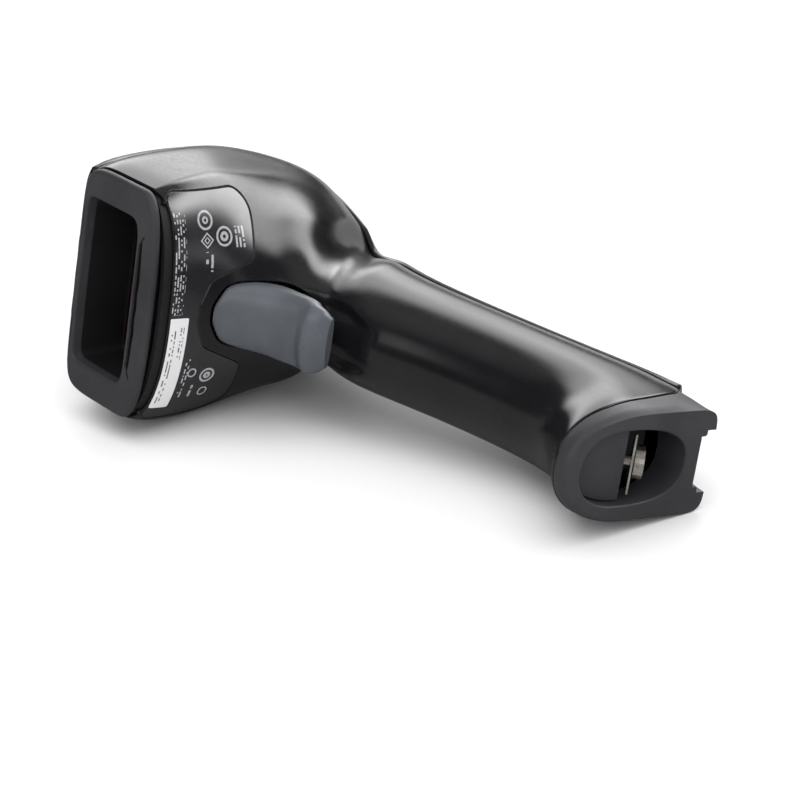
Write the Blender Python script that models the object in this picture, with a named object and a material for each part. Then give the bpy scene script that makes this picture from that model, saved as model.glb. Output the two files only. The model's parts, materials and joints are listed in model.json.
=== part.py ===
"""Cordless handheld barcode scanner: pistol grip, single-line laser engine, removable battery.

The scanner is modelled in its own frame: +X is the scan direction, +Y the scanner's left
and +Z its top. A root empty then lays it on its right side on the table, so that in the
world -Y is the scan direction, +X runs down the handle and +Z is the scanner's left.
"""
import math

import bmesh
import bpy
from mathutils import Matrix, Vector

MM = 0.001

# ---------------------------------------------------------------- driving dimensions (mm)
WALL = 2.0                  # housing wall
GAP = 0.3                   # running and assembly gap between neighbours
SEAM_ANGLE = 45.0           # where the back housing meets the front housing, degrees
SEAM_HALF_GAP = 0.25        # degrees of section angle left open on each side of the seam

# Body stations, nose to foot. Each row is one cross-section of the body:
# outer x, outer z, inner x, inner z, half width, ridge place, outer power, inner power, crease.
# The outer point runs over the head's top and down the handle's back. The inner point runs
# under the head and down the handle's front. The ridge place is a share of the way between.
BODY_STATIONS = (
    (-2.8, 15.4, -5.4, -24.0, 33.0, 0.72, 8.0, 2.8, 0.60),
    (-12.0, 18.5, -12.0, -24.5, 34.6, 0.69, 8.0, 2.8, 0.45),
    (-30.0, 23.3, -21.0, -25.0, 35.5, 0.62, 7.0, 2.7, 0.35),
    (-50.0, 26.0, -29.0, -27.0, 34.8, 0.48, 6.0, 2.6, 0.25),
    (-70.0, 24.5, -36.0, -32.0, 31.3, 0.36, 4.5, 2.4, 0.15),
    (-85.0, 15.5, -40.0, -38.0, 25.8, 0.34, 3.2, 2.2, 0.05),
    (-90.0, 0.0, -42.0, -44.0, 17.3, 0.40, 2.5, 2.2, 0.0),
    (-86.5, -20.0, -43.5, -52.0, 15.9, 0.48, 2.2, 2.3, 0.0),
    (-84.8, -42.0, -45.4, -63.0, 15.7, 0.50, 2.2, 2.3, 0.0),
    (-88.0, -70.0, -50.2, -80.0, 15.5, 0.50, 2.2, 2.3, 0.0),
    (-92.7, -98.0, -54.8, -104.0, 15.5, 0.50, 2.2, 2.3, 0.0),
    (-95.2, -120.0, -55.5, -121.0, 15.8, 0.50, 2.4, 2.3, 0.0),
    (-93.8, -131.0, -51.5, -132.0, 16.0, 0.50, 3.0, 2.3, 0.0),
    (-91.4, -139.5, -44.0, -142.0, 16.1, 0.50, 4.2, 2.2, 0.0),
    (-88.5, -151.5, -42.6, -147.2, 15.4, 0.50, 6.0, 2.2, 0.0),
)
SHELL_END = 13              # station where the housing ends and the foot collar begins
RINGS_PER_STATION = 2
SIDE_FLAT_REACH = 40.452    # distance from the mouth's centre to the flat the head rests on

# Front bumper and its opening: same nine numbers as a body station
BEZEL_OUTLINE = (0.0, 14.4, -2.2, -20.4, 32.6, 0.72, 8.0, 3.0, 0.0)
BEZEL_DEPTH = 2.4           # visible depth ahead of the back housing
SPIGOT_END = -15.5          # x where the bumper's spigot stops inside the housing
SPIGOT_INSET = 2.4          # from the housing's outside to the spigot's outside
SPIGOT_WALL = 1.8           # how far the opening widens towards the spigot's end
OPENING_OUTLINE = (-0.3, 12.3, -1.8, -11.8, 23.8, 0.50, 12.0, 9.0, 0.0)
LIP_SLOT = (34.0, 1.6, 3.0, 3.2)    # length, width, depth and distance below the opening

WINDOW_THICKNESS = 1.5
WINDOW_CORNER = 3.2
GASKET_THICKNESS = 1.0
GASKET_WIDTH = 3.4
WINDOW_HALF = (26.0, 13.6)  # half width and half height of the window glass
WINDOW_Z = 0.6

# Rating label and serial strip on the underside: stations and section angles, then depths
LABEL_STATIONS = (0.24, 2.55)
LABEL_ANGLES = (104.0, 256.0)
LABEL_DEPTHS = (0.45, 0.7)
LABEL_POCKET_DEPTH = 1.1
LABEL_RELIEF = 4.0          # margin left free around the trigger
STICKER_STATIONS = (0.34, 1.15)
STICKER_ANGLES = (181.0, 232.0)
STICKER_DEPTHS = (0.02, 0.15)

# Status light in the head's top: x and z of its lens, and radius
STATUS_LIGHT_AT = (-61.0, 25.9)
STATUS_LIGHT_RADIUS = 2.5

# Trigger: finger-face x and z, half width, depth behind the face
TRIGGER_FACE = (
    (-20.6, -25.4, 3.6, 2.6),
    (-22.0, -27.2, 7.2, 5.6),
    (-25.6, -30.2, 9.1, 8.8),
    (-29.6, -34.8, 9.8, 10.8),
    (-32.3, -40.0, 10.0, 11.0),
    (-33.6, -45.0, 10.0, 10.2),
    (-33.9, -48.6, 9.8, 9.2),
    (-35.4, -51.8, 9.0, 7.0),
    (-38.6, -53.4, 7.0, 3.0),
)
TRIGGER_SECTION_POWER = 3.2
TRIGGER_RINGS = 17          # rings along the trigger
TRIGGER_RING_COUNT = 20     # points round each ring
TRIGGER_PIVOT = (-27.5, -18.0)
TRIGGER_PIN_RADIUS = 1.25
TRIGGER_PIN_HALF = 13.0     # half length of the pivot pin
TRIGGER_BOSS_RADIUS = 3.0
TRIGGER_BOSS_SPAN = (4.2, 10.6)     # nearest and farthest y of each boss
TRIGGER_PULL = 6.0          # degrees
TRIGGER_CLEARANCE = 0.7
SLOT_END = (-45.5, -60.5)   # lower end of the trigger's slot in the handle
SLOT_END_RADIUS = 3.0
SLOT_END_HALF_WIDTH = 6.5

# Switch behind the trigger
SWITCH_Z = -33.0
SWITCH_FRONT_X = -45.3
SWITCH_BACK_X = -49.6
SWITCH_HALF = 4.0
PLUNGER_RADIUS = 1.5
PLUNGER_TIP_GAP = 0.95      # free travel between the plunger and the trigger's rib
PLUNGER_INSERT = 1.3        # length of the plunger that sits in the switch at rest
SWITCH_FLOOR = 0.9          # plastic left behind the plunger's bore
RIB_BACK_X = -42.0
RIB_HALF = 2.5

# Laser engine and electronics
MIRROR_AT = (-33.0, 0.0)
MIRROR_HALF = (4.8, 0.45, 5.5)
CHASSIS_LOW = (-58.0, -22.0, -13.0)
CHASSIS_HIGH = (-19.0, 22.0, 13.0)
CHASSIS_WALL = 2.0
BOARD_Z = (13.4, 15.0)
BOARD_SCREWS_AT = ((-54.0, 20.4), (-54.0, -20.4), (-24.0, 20.4), (-24.0, -20.4))
LASER_AT = (-45.0, -3.0)    # x and z of the laser's line
COLLECTOR_RADIUS = 44.0

# Foot collar: rim of the end face and opening in it, same nine numbers as a body station
COLLAR_STEP = 0.35          # how far the collar stands in from the housing
COLLAR_TOP_GAP = 0.035      # in stations
RIM_ROUND_START = 0.7       # share of the collar's height where its edge starts to turn in
FOOT_RIM = (-88.2, -152.0, -43.6, -147.8, 13.6, 0.50, 5.0, 2.2, 0.0)
FOOT_OPENING = (-80.0, -151.228, -47.6, -148.177, 10.0, 0.60, 2.6, 2.2, 0.0)
OPENING_RISE = (11.2, 4.4)  # height of the opening's wall at the heel and at the toe
HEEL_NOTCH_LOW = (-96.0, -8.5, -157.0)
HEEL_NOTCH_HIGH = (-85.2, 8.5, -146.2)

# Battery, slid out through the foot along its leaning axis
BATTERY_TOP = (-71.0, -67.0)
BATTERY_LEAN = 3.8          # degrees, towards the toe going down
CELL_RADIUS = 9.1
CELL_LENGTH = 62.0
TERMINAL = (3.2, 1.3)       # radius and height of the cell's terminal
CAP_OUTLINE = ((-49.0, -143.6), (-62.8, -147.0), (-72.8, -135.3), (-81.5, -135.3),
               (-81.5, -132.3), (-59.0, -132.3), (-53.5, -140.4), (-49.0, -142.2))
CAP_HALF_WIDTH = 14.0
CAP_SHRINK = 0.4            # gap between the cap and the opening
CAP_SCREW_AT = (-68.2, -146.6)
CAP_SCREW_TILT = 49.5       # degrees from straight down, towards the handle's back
CAP_SCREW_HEAD = (4.4, 2.4)  # radius, height
CAP_SCREW_SHANK = (1.5, 9.0)  # radius, length from the head's middle
CAP_SCREW_HOLE_RADIUS = 1.8
CROSS_SLOT = (5.2, 0.9)     # length and width of each arm of the cross recess
SCREW_PLATE = (0.5, 16.0, 6.0)  # thickness, length, width

# Rest pose on the table: it lies on the side of the head's rear and on the foot's heel
REST_PITCH = 4.537          # degrees, foot end down
REST_ROLL = 10.0            # degrees, nose up


# ---------------------------------------------------------------- scene and material helpers
def clear_scene():
    """Remove every object, so the script gives the same result on each run."""
    for obj in list(bpy.data.objects):
        bpy.data.objects.remove(obj, do_unlink=True)


def make_collection(name):
    """A new collection in the scene."""
    collection = bpy.data.collections.new(name)
    bpy.context.scene.collection.children.link(collection)
    return collection


def make_material(name, color, roughness, metallic=0.0):
    """A Principled material with one colour."""
    material = bpy.data.materials.new(name)
    material.use_nodes = True
    shader = material.node_tree.nodes["Principled BSDF"]
    shader.inputs["Base Color"].default_value = (*color, 1.0)
    shader.inputs["Roughness"].default_value = roughness
    shader.inputs["Metallic"].default_value = metallic
    return material


clear_scene()
PARTS = make_collection("handheld_barcode_scanner")
CUTTERS = make_collection("cutters")
ROOT = bpy.data.objects.new("scanner_root", None)
PARTS.objects.link(ROOT)

MATERIALS = {
    "housing_black": make_material("housing_black", (0.012, 0.012, 0.014), 0.28),
    "bumper_grey": make_material("bumper_grey", (0.05, 0.05, 0.055), 0.62),
    "trigger_grey": make_material("trigger_grey", (0.09, 0.10, 0.115), 0.38),
    "window_red": make_material("window_red", (0.05, 0.004, 0.006), 0.05),
    "rubber_black": make_material("rubber_black", (0.02, 0.02, 0.02), 0.8),
    "inner_plastic": make_material("inner_plastic", (0.03, 0.03, 0.032), 0.6),
    "label_black": make_material("label_black", (0.03, 0.03, 0.033), 0.2),
    "sticker_white": make_material("sticker_white", (0.75, 0.75, 0.76), 0.4),
    "steel": make_material("steel", (0.62, 0.60, 0.56), 0.25, 1.0),
    "brass": make_material("brass", (0.72, 0.52, 0.24), 0.3, 1.0),
    "aluminium": make_material("aluminium", (0.70, 0.71, 0.73), 0.35, 1.0),
    "copper": make_material("copper", (0.72, 0.36, 0.20), 0.35, 1.0),
    "mirror": make_material("mirror", (0.9, 0.9, 0.92), 0.03, 1.0),
    "board_green": make_material("board_green", (0.02, 0.16, 0.06), 0.45),
    "chip_black": make_material("chip_black", (0.02, 0.02, 0.02), 0.5),
    "cell_wrap": make_material("cell_wrap", (0.05, 0.16, 0.42), 0.4),
    "clear_plastic": make_material("clear_plastic", (0.85, 0.88, 0.88), 0.15),
    "flex_amber": make_material("flex_amber", (0.48, 0.24, 0.05), 0.4),
}


def new_object(name, bm, material, collection=None):
    """Turn a bmesh in scanner millimetres into an object in metres under the root."""
    bmesh.ops.recalc_face_normals(bm, faces=bm.faces)
    bmesh.ops.scale(bm, vec=(MM, MM, MM), verts=bm.verts)
    mesh = bpy.data.meshes.new(name)
    bm.to_mesh(mesh)
    bm.free()
    obj = bpy.data.objects.new(name, mesh)
    (collection or PARTS).objects.link(obj)
    if material:
        mesh.materials.append(MATERIALS[material])
    mesh.shade_smooth()
    mesh.set_sharp_from_angle(angle=math.radians(35))
    obj.parent = ROOT
    return obj


def set_origin(obj, point):
    """Move an object's origin to a point given in scanner millimetres."""
    offset = Vector(point) * MM
    obj.data.transform(Matrix.Translation(-offset))
    obj.location = offset


def cut(target, cutter, operation="DIFFERENCE"):
    """Apply one Boolean and keep the cutter as a hidden guide."""
    cutter.hide_render = True
    cutter.display_type = "WIRE"
    modifier = target.modifiers.new(cutter.name, "BOOLEAN")
    modifier.operation = operation
    modifier.solver = "EXACT"
    modifier.object = cutter


# ---------------------------------------------------------------- solids from primitives
def box(name, low, high, material, collection=None, tilt=0.0):
    """A box between two corners, turned by tilt degrees about Y through its centre."""
    bm = bmesh.new()
    bmesh.ops.create_cube(bm, size=1.0)
    size = [abs(b - a) for a, b in zip(low, high)]
    bmesh.ops.scale(bm, vec=size, verts=bm.verts)
    center = [(a + b) / 2 for a, b in zip(low, high)]
    turn = Matrix.Rotation(math.radians(tilt), 4, "Y")
    bmesh.ops.transform(bm, matrix=Matrix.Translation(center) @ turn, verts=bm.verts)
    return new_object(name, bm, material, collection)


def cylinder(name, start, end, radius, material, collection=None, sides=20, end_radius=None):
    """A cylinder or cone between two points."""
    start, end = Vector(start), Vector(end)
    axis = end - start
    bm = bmesh.new()
    bmesh.ops.create_cone(
        bm, cap_ends=True, segments=sides, depth=axis.length,
        radius1=radius, radius2=radius if end_radius is None else end_radius,
    )
    turn = axis.to_track_quat("Z", "Y").to_matrix().to_4x4()
    place = Matrix.Translation((start + end) / 2)
    bmesh.ops.transform(bm, matrix=place @ turn, verts=bm.verts)
    return new_object(name, bm, material, collection)


def side_prism(name, outline, half_width, material, collection=None, y_center=0.0):
    """An X-Z outline extruded evenly to both sides of the plane y = y_center."""
    bm = bmesh.new()
    left = [bm.verts.new((x, y_center + half_width, z)) for x, z in outline]
    face = bm.faces.new(left)
    extruded = bmesh.ops.extrude_face_region(bm, geom=[face])
    moved = [item for item in extruded["geom"] if isinstance(item, bmesh.types.BMVert)]
    bmesh.ops.translate(bm, vec=(0, -2 * half_width, 0), verts=moved)
    return new_object(name, bm, material, collection)


def ring_loft(name, rings, material, collection=None, closed=False):
    """A skin through rings of equal length, capped at both ends or closed on itself."""
    bm = bmesh.new()
    rows = [[bm.verts.new(point) for point in ring] for ring in rings]
    count = len(rows[0])
    pairs = list(zip(rows, rows[1:]))
    if closed:
        pairs.append((rows[-1], rows[0]))
    for near, far in pairs:
        for j in range(count):
            k = (j + 1) % count
            bm.faces.new((near[j], near[k], far[k], far[j]))
    if not closed:
        bm.faces.new(rows[0])
        bm.faces.new(rows[-1])
    return new_object(name, bm, material, collection)


# ---------------------------------------------------------------- the body's cross-sections
def spline_value(rows, u):
    """Catmull-Rom interpolation of the rows at u, where whole numbers are the rows."""
    last = len(rows) - 1
    i = min(max(int(u), 0), last - 1)
    t = u - i
    p1, p2 = rows[i], rows[i + 1]
    p0 = rows[i - 1] if i > 0 else [2 * a - b for a, b in zip(p1, p2)]
    p3 = rows[i + 2] if i + 2 <= last else [2 * b - a for a, b in zip(p1, p2)]
    value = []
    for a, b, c, d in zip(p0, p1, p2, p3):
        value.append(0.5 * (2 * b + (c - a) * t + (2 * a - 5 * b + 4 * c - d) * t * t
                            + (3 * b - a - 3 * c + d) * t ** 3))
    return value


def section_point(row, angle, inset=0.0):
    """Point of one cross-section on its left side; angle runs 0 (outer) to 180 (inner)."""
    outer = Vector((row[0], row[1]))
    inner = Vector((row[2], row[3]))
    half_width, ridge, power_out, power_in, crease = row[4:9]
    depth = (inner - outer).length
    across = (inner - outer) / depth
    widest = outer + across * depth * ridge
    half_width -= inset
    theta = math.radians(angle)
    if angle <= 90.0:
        y = half_width * abs(math.sin(theta)) ** (2 / power_out)
        h = -(depth * ridge - inset) * abs(math.cos(theta)) ** (2 / power_out)
    else:
        inner_depth = depth * (1 - ridge) - inset
        y = half_width * abs(math.sin(theta)) ** (2 / power_in)
        round_h = inner_depth * abs(math.cos(theta)) ** (2 / power_in)
        flat_h = inner_depth * (1 - (y / half_width) ** power_in)
        h = round_h * (1 - crease) + flat_h * crease
    place = widest + across * h
    return Vector((place.x, y, place.y))


def section_arc(row, start, end, count, inset=0.0):
    """Evenly spaced points of a cross-section between two angles."""
    steps = 60
    dense = [section_point(row, start + (end - start) * i / steps, inset) for i in range(steps + 1)]
    lengths = [0.0]
    for a, b in zip(dense, dense[1:]):
        lengths.append(lengths[-1] + (b - a).length)
    points = []
    i = 0
    for k in range(count + 1):
        target = lengths[-1] * k / count
        while i < steps - 1 and lengths[i + 1] < target:
            i += 1
        span = lengths[i + 1] - lengths[i]
        t = (target - lengths[i]) / span if span else 0.0
        points.append(dense[i].lerp(dense[i + 1], t))
    return points


def mirrored(points):
    """The same points on the scanner's right side, in reverse order."""
    return [Vector((p.x, -p.y, p.z)) for p in reversed(points)]


def full_ring(row, inset=0.0, outer_count=6, side_count=4, inner_count=8):
    """A whole cross-section as one closed ring."""
    left = section_arc(row, 0, 45, outer_count, inset)
    left += section_arc(row, 45, 90, side_count, inset)[1:]
    left += section_arc(row, 90, 180, inner_count, inset)[1:]
    return left + mirrored(left)[1:-1]


def body_row(u):
    """The body's nine section numbers at station u."""
    return spline_value(BODY_STATIONS, u)


def station_steps(first, last):
    """Evenly spaced places along the body, RINGS_PER_STATION to each station."""
    count = round((last - first) * RINGS_PER_STATION)
    return [first + (last - first) * i / count for i in range(count + 1)]


def back_strip(u, inset):
    """The back housing's part of a section, from the left seam over the top to the right."""
    left = section_arc(body_row(u), SEAM_ANGLE - SEAM_HALF_GAP, 0, 4, inset)
    return left + mirrored(left)[1:]


def front_strip(u, inset):
    """The front housing's part of a section, from the left seam underneath to the right."""
    left = section_arc(body_row(u), SEAM_ANGLE + SEAM_HALF_GAP, 90, 3, inset)
    left += section_arc(body_row(u), 90, 180, 6, inset)[1:]
    return left + mirrored(left)[1:]


def rest_turn():
    """Turn that lays the scanner on its right side, leaning on the head and the heel."""
    side = Matrix(((0, 0, -1), (-1, 0, 0), (0, 1, 0))).to_4x4()
    pitch = Matrix.Rotation(math.radians(REST_PITCH), 4, "Y")
    roll = Matrix.Rotation(math.radians(-REST_ROLL), 4, "X")
    return roll @ pitch @ side


def side_flat(point):
    """The point, kept behind the small flats on which the head rests on either side."""
    up = rest_turn().to_3x3().transposed() @ Vector((0, 0, 1))
    for side in (1, -1):
        out = Vector((-up.x, -up.y * side, -up.z))
        over = point.dot(out) - SIDE_FLAT_REACH
        if over > 0:
            point = point - out * over
    return point


def strip_shell(name, strip, first, last, material):
    """A wall of even thickness behind one strip of the body's surface."""
    bm = bmesh.new()
    outside, inside = [], []
    for u in station_steps(first, last):
        outside.append([bm.verts.new(side_flat(p)) for p in strip(u, 0.0)])
        inside.append([bm.verts.new(p) for p in strip(u, WALL)])
    for i in range(len(outside) - 1):
        loop_near = outside[i] + inside[i][::-1]
        loop_far = outside[i + 1] + inside[i + 1][::-1]
        for j in range(len(loop_near)):
            k = (j + 1) % len(loop_near)
            bm.faces.new((loop_near[j], loop_near[k], loop_far[k], loop_far[j]))
    for end in (0, -1):
        for j in range(len(outside[0]) - 1):
            bm.faces.new((outside[end][j], outside[end][j + 1],
                          inside[end][j + 1], inside[end][j]))
    return new_object(name, bm, material)


# ---------------------------------------------------------------- trigger shape
def trigger_rings(swell=0.0):
    """Rounded cross-sections of the trigger, front end to tip, grown by swell all round."""
    rings = []
    last = len(TRIGGER_FACE) - 1
    for i in range(TRIGGER_RINGS):
        u = last * i / (TRIGGER_RINGS - 1)
        x, z, half_width, depth = spline_value(TRIGGER_FACE, u)
        ahead = spline_value(TRIGGER_FACE, min(u + 0.05, last))
        behind = spline_value(TRIGGER_FACE, max(u - 0.05, 0))
        along = Vector((ahead[0] - behind[0], ahead[1] - behind[1])).normalized()
        inward = Vector((along.y, -along.x))
        if inward.x > 0:
            inward = -inward
        half_width += swell
        half_depth = depth / 2 + swell
        center = Vector((x, z)) + inward * (depth / 2)
        ring = []
        for k in range(TRIGGER_RING_COUNT):
            theta = 2 * math.pi * k / TRIGGER_RING_COUNT
            c, s = math.cos(theta), math.sin(theta)
            power = 2 / TRIGGER_SECTION_POWER
            y = half_width * math.copysign(abs(s) ** power, s)
            d = -half_depth * math.copysign(abs(c) ** power, c)
            place = center + inward * d
            ring.append(Vector((place.x, y, place.y)))
        rings.append(ring)
        if swell and i in (0, TRIGGER_RINGS - 1):
            way = swell if i else -swell
            shift = Vector((along.x, 0, along.y)) * way
            extended = [p + shift for p in ring]
            rings.insert(len(rings) if i else 0, extended)
    return rings


def tube_along(name, points, radius, material, sides=8):
    """A round wire through a list of points, made from a curve with filled caps."""
    curve = bpy.data.curves.new(name, "CURVE")
    curve.dimensions = "3D"
    curve.bevel_depth = radius * MM
    curve.bevel_resolution = max(sides // 4 - 1, 0)
    curve.use_fill_caps = True
    spline = curve.splines.new("POLY")
    spline.points.add(len(points) - 1)
    for spot, point in zip(spline.points, points):
        spot.co = (*(Vector(point) * MM), 1.0)
    source = bpy.data.objects.new(name + "_curve", curve)
    PARTS.objects.link(source)
    graph = bpy.context.evaluated_depsgraph_get()
    mesh = bpy.data.meshes.new_from_object(source.evaluated_get(graph))
    bpy.data.objects.remove(source, do_unlink=True)
    bm = bmesh.new()
    bm.from_mesh(mesh)
    bmesh.ops.remove_doubles(bm, verts=bm.verts, dist=0.00001)
    bmesh.ops.recalc_face_normals(bm, faces=bm.faces)
    bm.to_mesh(mesh)
    bm.free()
    mesh.name = name
    mesh.materials.clear()
    mesh.materials.append(MATERIALS[material])
    mesh.shade_smooth()
    obj = bpy.data.objects.new(name, mesh)
    PARTS.objects.link(obj)
    obj.parent = ROOT
    return obj


def strip_outline(path, thickness):
    """A closed X-Z outline of even thickness around a path, for a bent strip."""
    sides = ([], [])
    for i, (x, z) in enumerate(path):
        before = path[max(i - 1, 0)]
        after = path[min(i + 1, len(path) - 1)]
        along = Vector((after[0] - before[0], after[1] - before[1])).normalized()
        normal = Vector((-along.y, along.x)) * thickness / 2
        sides[0].append((x + normal.x, z + normal.y))
        sides[1].append((x - normal.x, z - normal.y))
    return sides[0] + sides[1][::-1]


# ---------------------------------------------------------------- housing
def surface_patch(name, first, last, start, end, depths, material, collection=None, steps=(4, 8)):
    """A thin plate that follows the body between two stations and two section angles."""
    bm = bmesh.new()
    skins = []
    for inset in depths:
        rows = []
        for i in range(steps[0] + 1):
            row = body_row(first + (last - first) * i / steps[0])
            points = []
            for j in range(steps[1] + 1):
                angle = start + (end - start) * j / steps[1]
                folded = angle if angle <= 180 else 360 - angle
                point = section_point(row, folded, inset)
                if angle > 180:
                    point.y = -point.y
                points.append(bm.verts.new(point))
            rows.append(points)
        skins.append(rows)
    top, bottom = skins
    for i in range(steps[0]):
        for j in range(steps[1]):
            for rows in skins:
                bm.faces.new((rows[i][j], rows[i][j + 1], rows[i + 1][j + 1], rows[i + 1][j]))
    for j in range(steps[1]):
        for i in (0, -1):
            bm.faces.new((top[i][j], top[i][j + 1], bottom[i][j + 1], bottom[i][j]))
    for i in range(steps[0]):
        for j in (0, -1):
            bm.faces.new((top[i][j], top[i + 1][j], bottom[i + 1][j], bottom[i][j]))
    return new_object(name, bm, material, collection)


def rotated_about_pivot(rings, degrees):
    """Trigger rings turned about the trigger's pivot; positive pulls the trigger."""
    pivot = Vector((TRIGGER_PIVOT[0], 0, TRIGGER_PIVOT[1]))
    turn = Matrix.Rotation(math.radians(degrees), 3, "Y")
    return [[turn @ (p - pivot) + pivot for p in ring] for ring in rings]


def trigger_slot_cutter():
    """One smooth solid around the trigger at rest and pulled, down to the hollow at its tip."""
    bm = bmesh.new()
    for degrees in (0.0, TRIGGER_PULL):
        for ring in rotated_about_pivot(trigger_rings(TRIGGER_CLEARANCE), degrees):
            for point in ring:
                bm.verts.new(point)
    x, z = SLOT_END
    sides = 12
    for k in range(sides):
        theta = 2 * math.pi * k / sides
        bm.verts.new((x + SLOT_END_RADIUS * math.sin(theta),
                      SLOT_END_HALF_WIDTH * math.cos(theta), z))
    hull = bmesh.ops.convex_hull(bm, input=bm.verts)
    loose = {v for v in hull["geom_interior"] if isinstance(v, bmesh.types.BMVert)}
    loose |= {v for v in bm.verts if not v.link_faces}
    bmesh.ops.delete(bm, geom=list(loose), context="VERTS")
    return new_object("trigger_slot_cutter", bm, None, CUTTERS)


def build_housings():
    """The two housing shells, with the trigger slot, label recess and status light hole."""
    front = strip_shell("front_housing", front_strip, 0, SHELL_END, "housing_black")
    cut(front, trigger_slot_cutter())
    pocket = surface_patch(
        "label_pocket_cutter", LABEL_STATIONS[0] - 0.03, LABEL_STATIONS[1] + 0.03,
        LABEL_ANGLES[0] - 1.0, LABEL_ANGLES[1] + 1.0, (-1.0, LABEL_POCKET_DEPTH), None, CUTTERS,
        (6, 18),
    )
    cut(pocket, ring_loft("pocket_relief_cutter", trigger_rings(LABEL_RELIEF - GAP), None,
                          CUTTERS))
    cut(front, pocket)

    back = strip_shell("back_housing", back_strip, 0, SHELL_END, "housing_black")
    x, z = STATUS_LIGHT_AT
    hole = cylinder("status_light_cutter", (x, 0, z - 6), (x, 0, z + 4),
                    STATUS_LIGHT_RADIUS + GAP, None, CUTTERS)
    cut(back, hole)
    cylinder("status_light_pipe", (x, 0, z - 8.4), (x, 0, z - 0.3),
             STATUS_LIGHT_RADIUS, "clear_plastic")


def build_label():
    """Rating label set into the underside, and the white serial strip over it."""
    label = surface_patch("rating_label", *LABEL_STATIONS, *LABEL_ANGLES, LABEL_DEPTHS,
                          "label_black", steps=(6, 18))
    cut(label, ring_loft("label_relief_cutter", trigger_rings(LABEL_RELIEF), None, CUTTERS))
    surface_patch("serial_sticker", *STICKER_STATIONS, *STICKER_ANGLES, STICKER_DEPTHS,
                  "sticker_white", steps=(2, 6))


# ---------------------------------------------------------------- nose
def build_nose():
    """Rubbery bumper around the mouth, the scan window and its gasket."""
    counts = {"outer_count": 7, "side_count": 3, "inner_count": 8}

    def outline(row, inset=0.0, x_shift=0.0, flat_x=None):
        ring = full_ring(row, inset, **counts)
        return [Vector((p.x + x_shift if flat_x is None else flat_x, p.y, p.z)) for p in ring]

    mouth = BODY_STATIONS[0]
    rings = [
        outline(BEZEL_OUTLINE),
        outline(BEZEL_OUTLINE, 0.0, -BEZEL_DEPTH),
        outline(mouth, SPIGOT_INSET),
        outline(mouth, SPIGOT_INSET, flat_x=SPIGOT_END),
        outline(OPENING_OUTLINE, SPIGOT_WALL, flat_x=SPIGOT_END),
        outline(OPENING_OUTLINE),
    ]
    bezel = ring_loft("nose_bumper", rings, "bumper_grey", closed=True)
    length, width, depth, drop = LIP_SLOT
    slot_z = OPENING_OUTLINE[3] - drop
    slot = box("lip_slot_cutter", (-1.8 - depth, -length / 2, slot_z - width / 2),
               (1.0, length / 2, slot_z + width / 2), None, CUTTERS)
    cut(bezel, slot)

    def plate_outline(half_width, half_height, radius):
        points = []
        for corner in range(4):
            sy = 1 if corner in (0, 3) else -1
            sz = 1 if corner in (0, 1) else -1
            center = Vector((0, sy * (half_width - radius), WINDOW_Z + sz * (half_height - radius)))
            for k in range(4):
                theta = math.radians(90 * corner + 30 * k)
                points.append(center + Vector((0, math.cos(theta), math.sin(theta))) * radius)
        return points

    def plate_ring(x, shrink):
        half_width, half_height = WINDOW_HALF
        return [p + Vector((x, 0, 0))
                for p in plate_outline(half_width - shrink, half_height - shrink, WINDOW_CORNER)]

    front = SPIGOT_END - GAP
    back = front - GASKET_THICKNESS
    ring_loft("window_gasket", [plate_ring(front, 0), plate_ring(back, 0),
                                plate_ring(back, GASKET_WIDTH), plate_ring(front, GASKET_WIDTH)],
              "rubber_black", closed=True)
    glass = back - GAP
    ring_loft("scan_window", [plate_ring(glass, 0), plate_ring(glass - WINDOW_THICKNESS, 0)],
              "window_red")


# ---------------------------------------------------------------- trigger and its switch
def build_trigger():
    """Trigger with its bosses, arms and rib, turning on the pivot pin."""
    px, pz = TRIGGER_PIVOT
    near, far = TRIGGER_BOSS_SPAN
    arm_outer_y = 7.0
    trigger = ring_loft("trigger", trigger_rings(), "trigger_grey")
    for side, sign in (("left", 1), ("right", -1)):
        low, high = sorted((near * sign, far * sign))
        cut(trigger, cylinder(f"boss_{side}_guide", (px, low, pz), (px, high, pz),
                              TRIGGER_BOSS_RADIUS, None, CUTTERS), "UNION")
        low, high = sorted((near * sign, arm_outer_y * sign))
        cut(trigger, box(f"arm_{side}_guide", (px - 2.6, low, pz - 8.0),
                         (px + 1.4, high, pz - 0.6), None, CUTTERS), "UNION")
    rib_length = 8.0
    cut(trigger, box("rib_guide", (RIB_BACK_X, -RIB_HALF, SWITCH_Z - RIB_HALF),
                     (RIB_BACK_X + rib_length, RIB_HALF, SWITCH_Z + RIB_HALF), None, CUTTERS),
        "UNION")
    cut(trigger, cylinder("pin_hole_cutter", (px, -TRIGGER_PIN_HALF, pz),
                          (px, TRIGGER_PIN_HALF, pz), TRIGGER_PIN_RADIUS + 0.1, None, CUTTERS))
    set_origin(trigger, (px, 0, pz))


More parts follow.
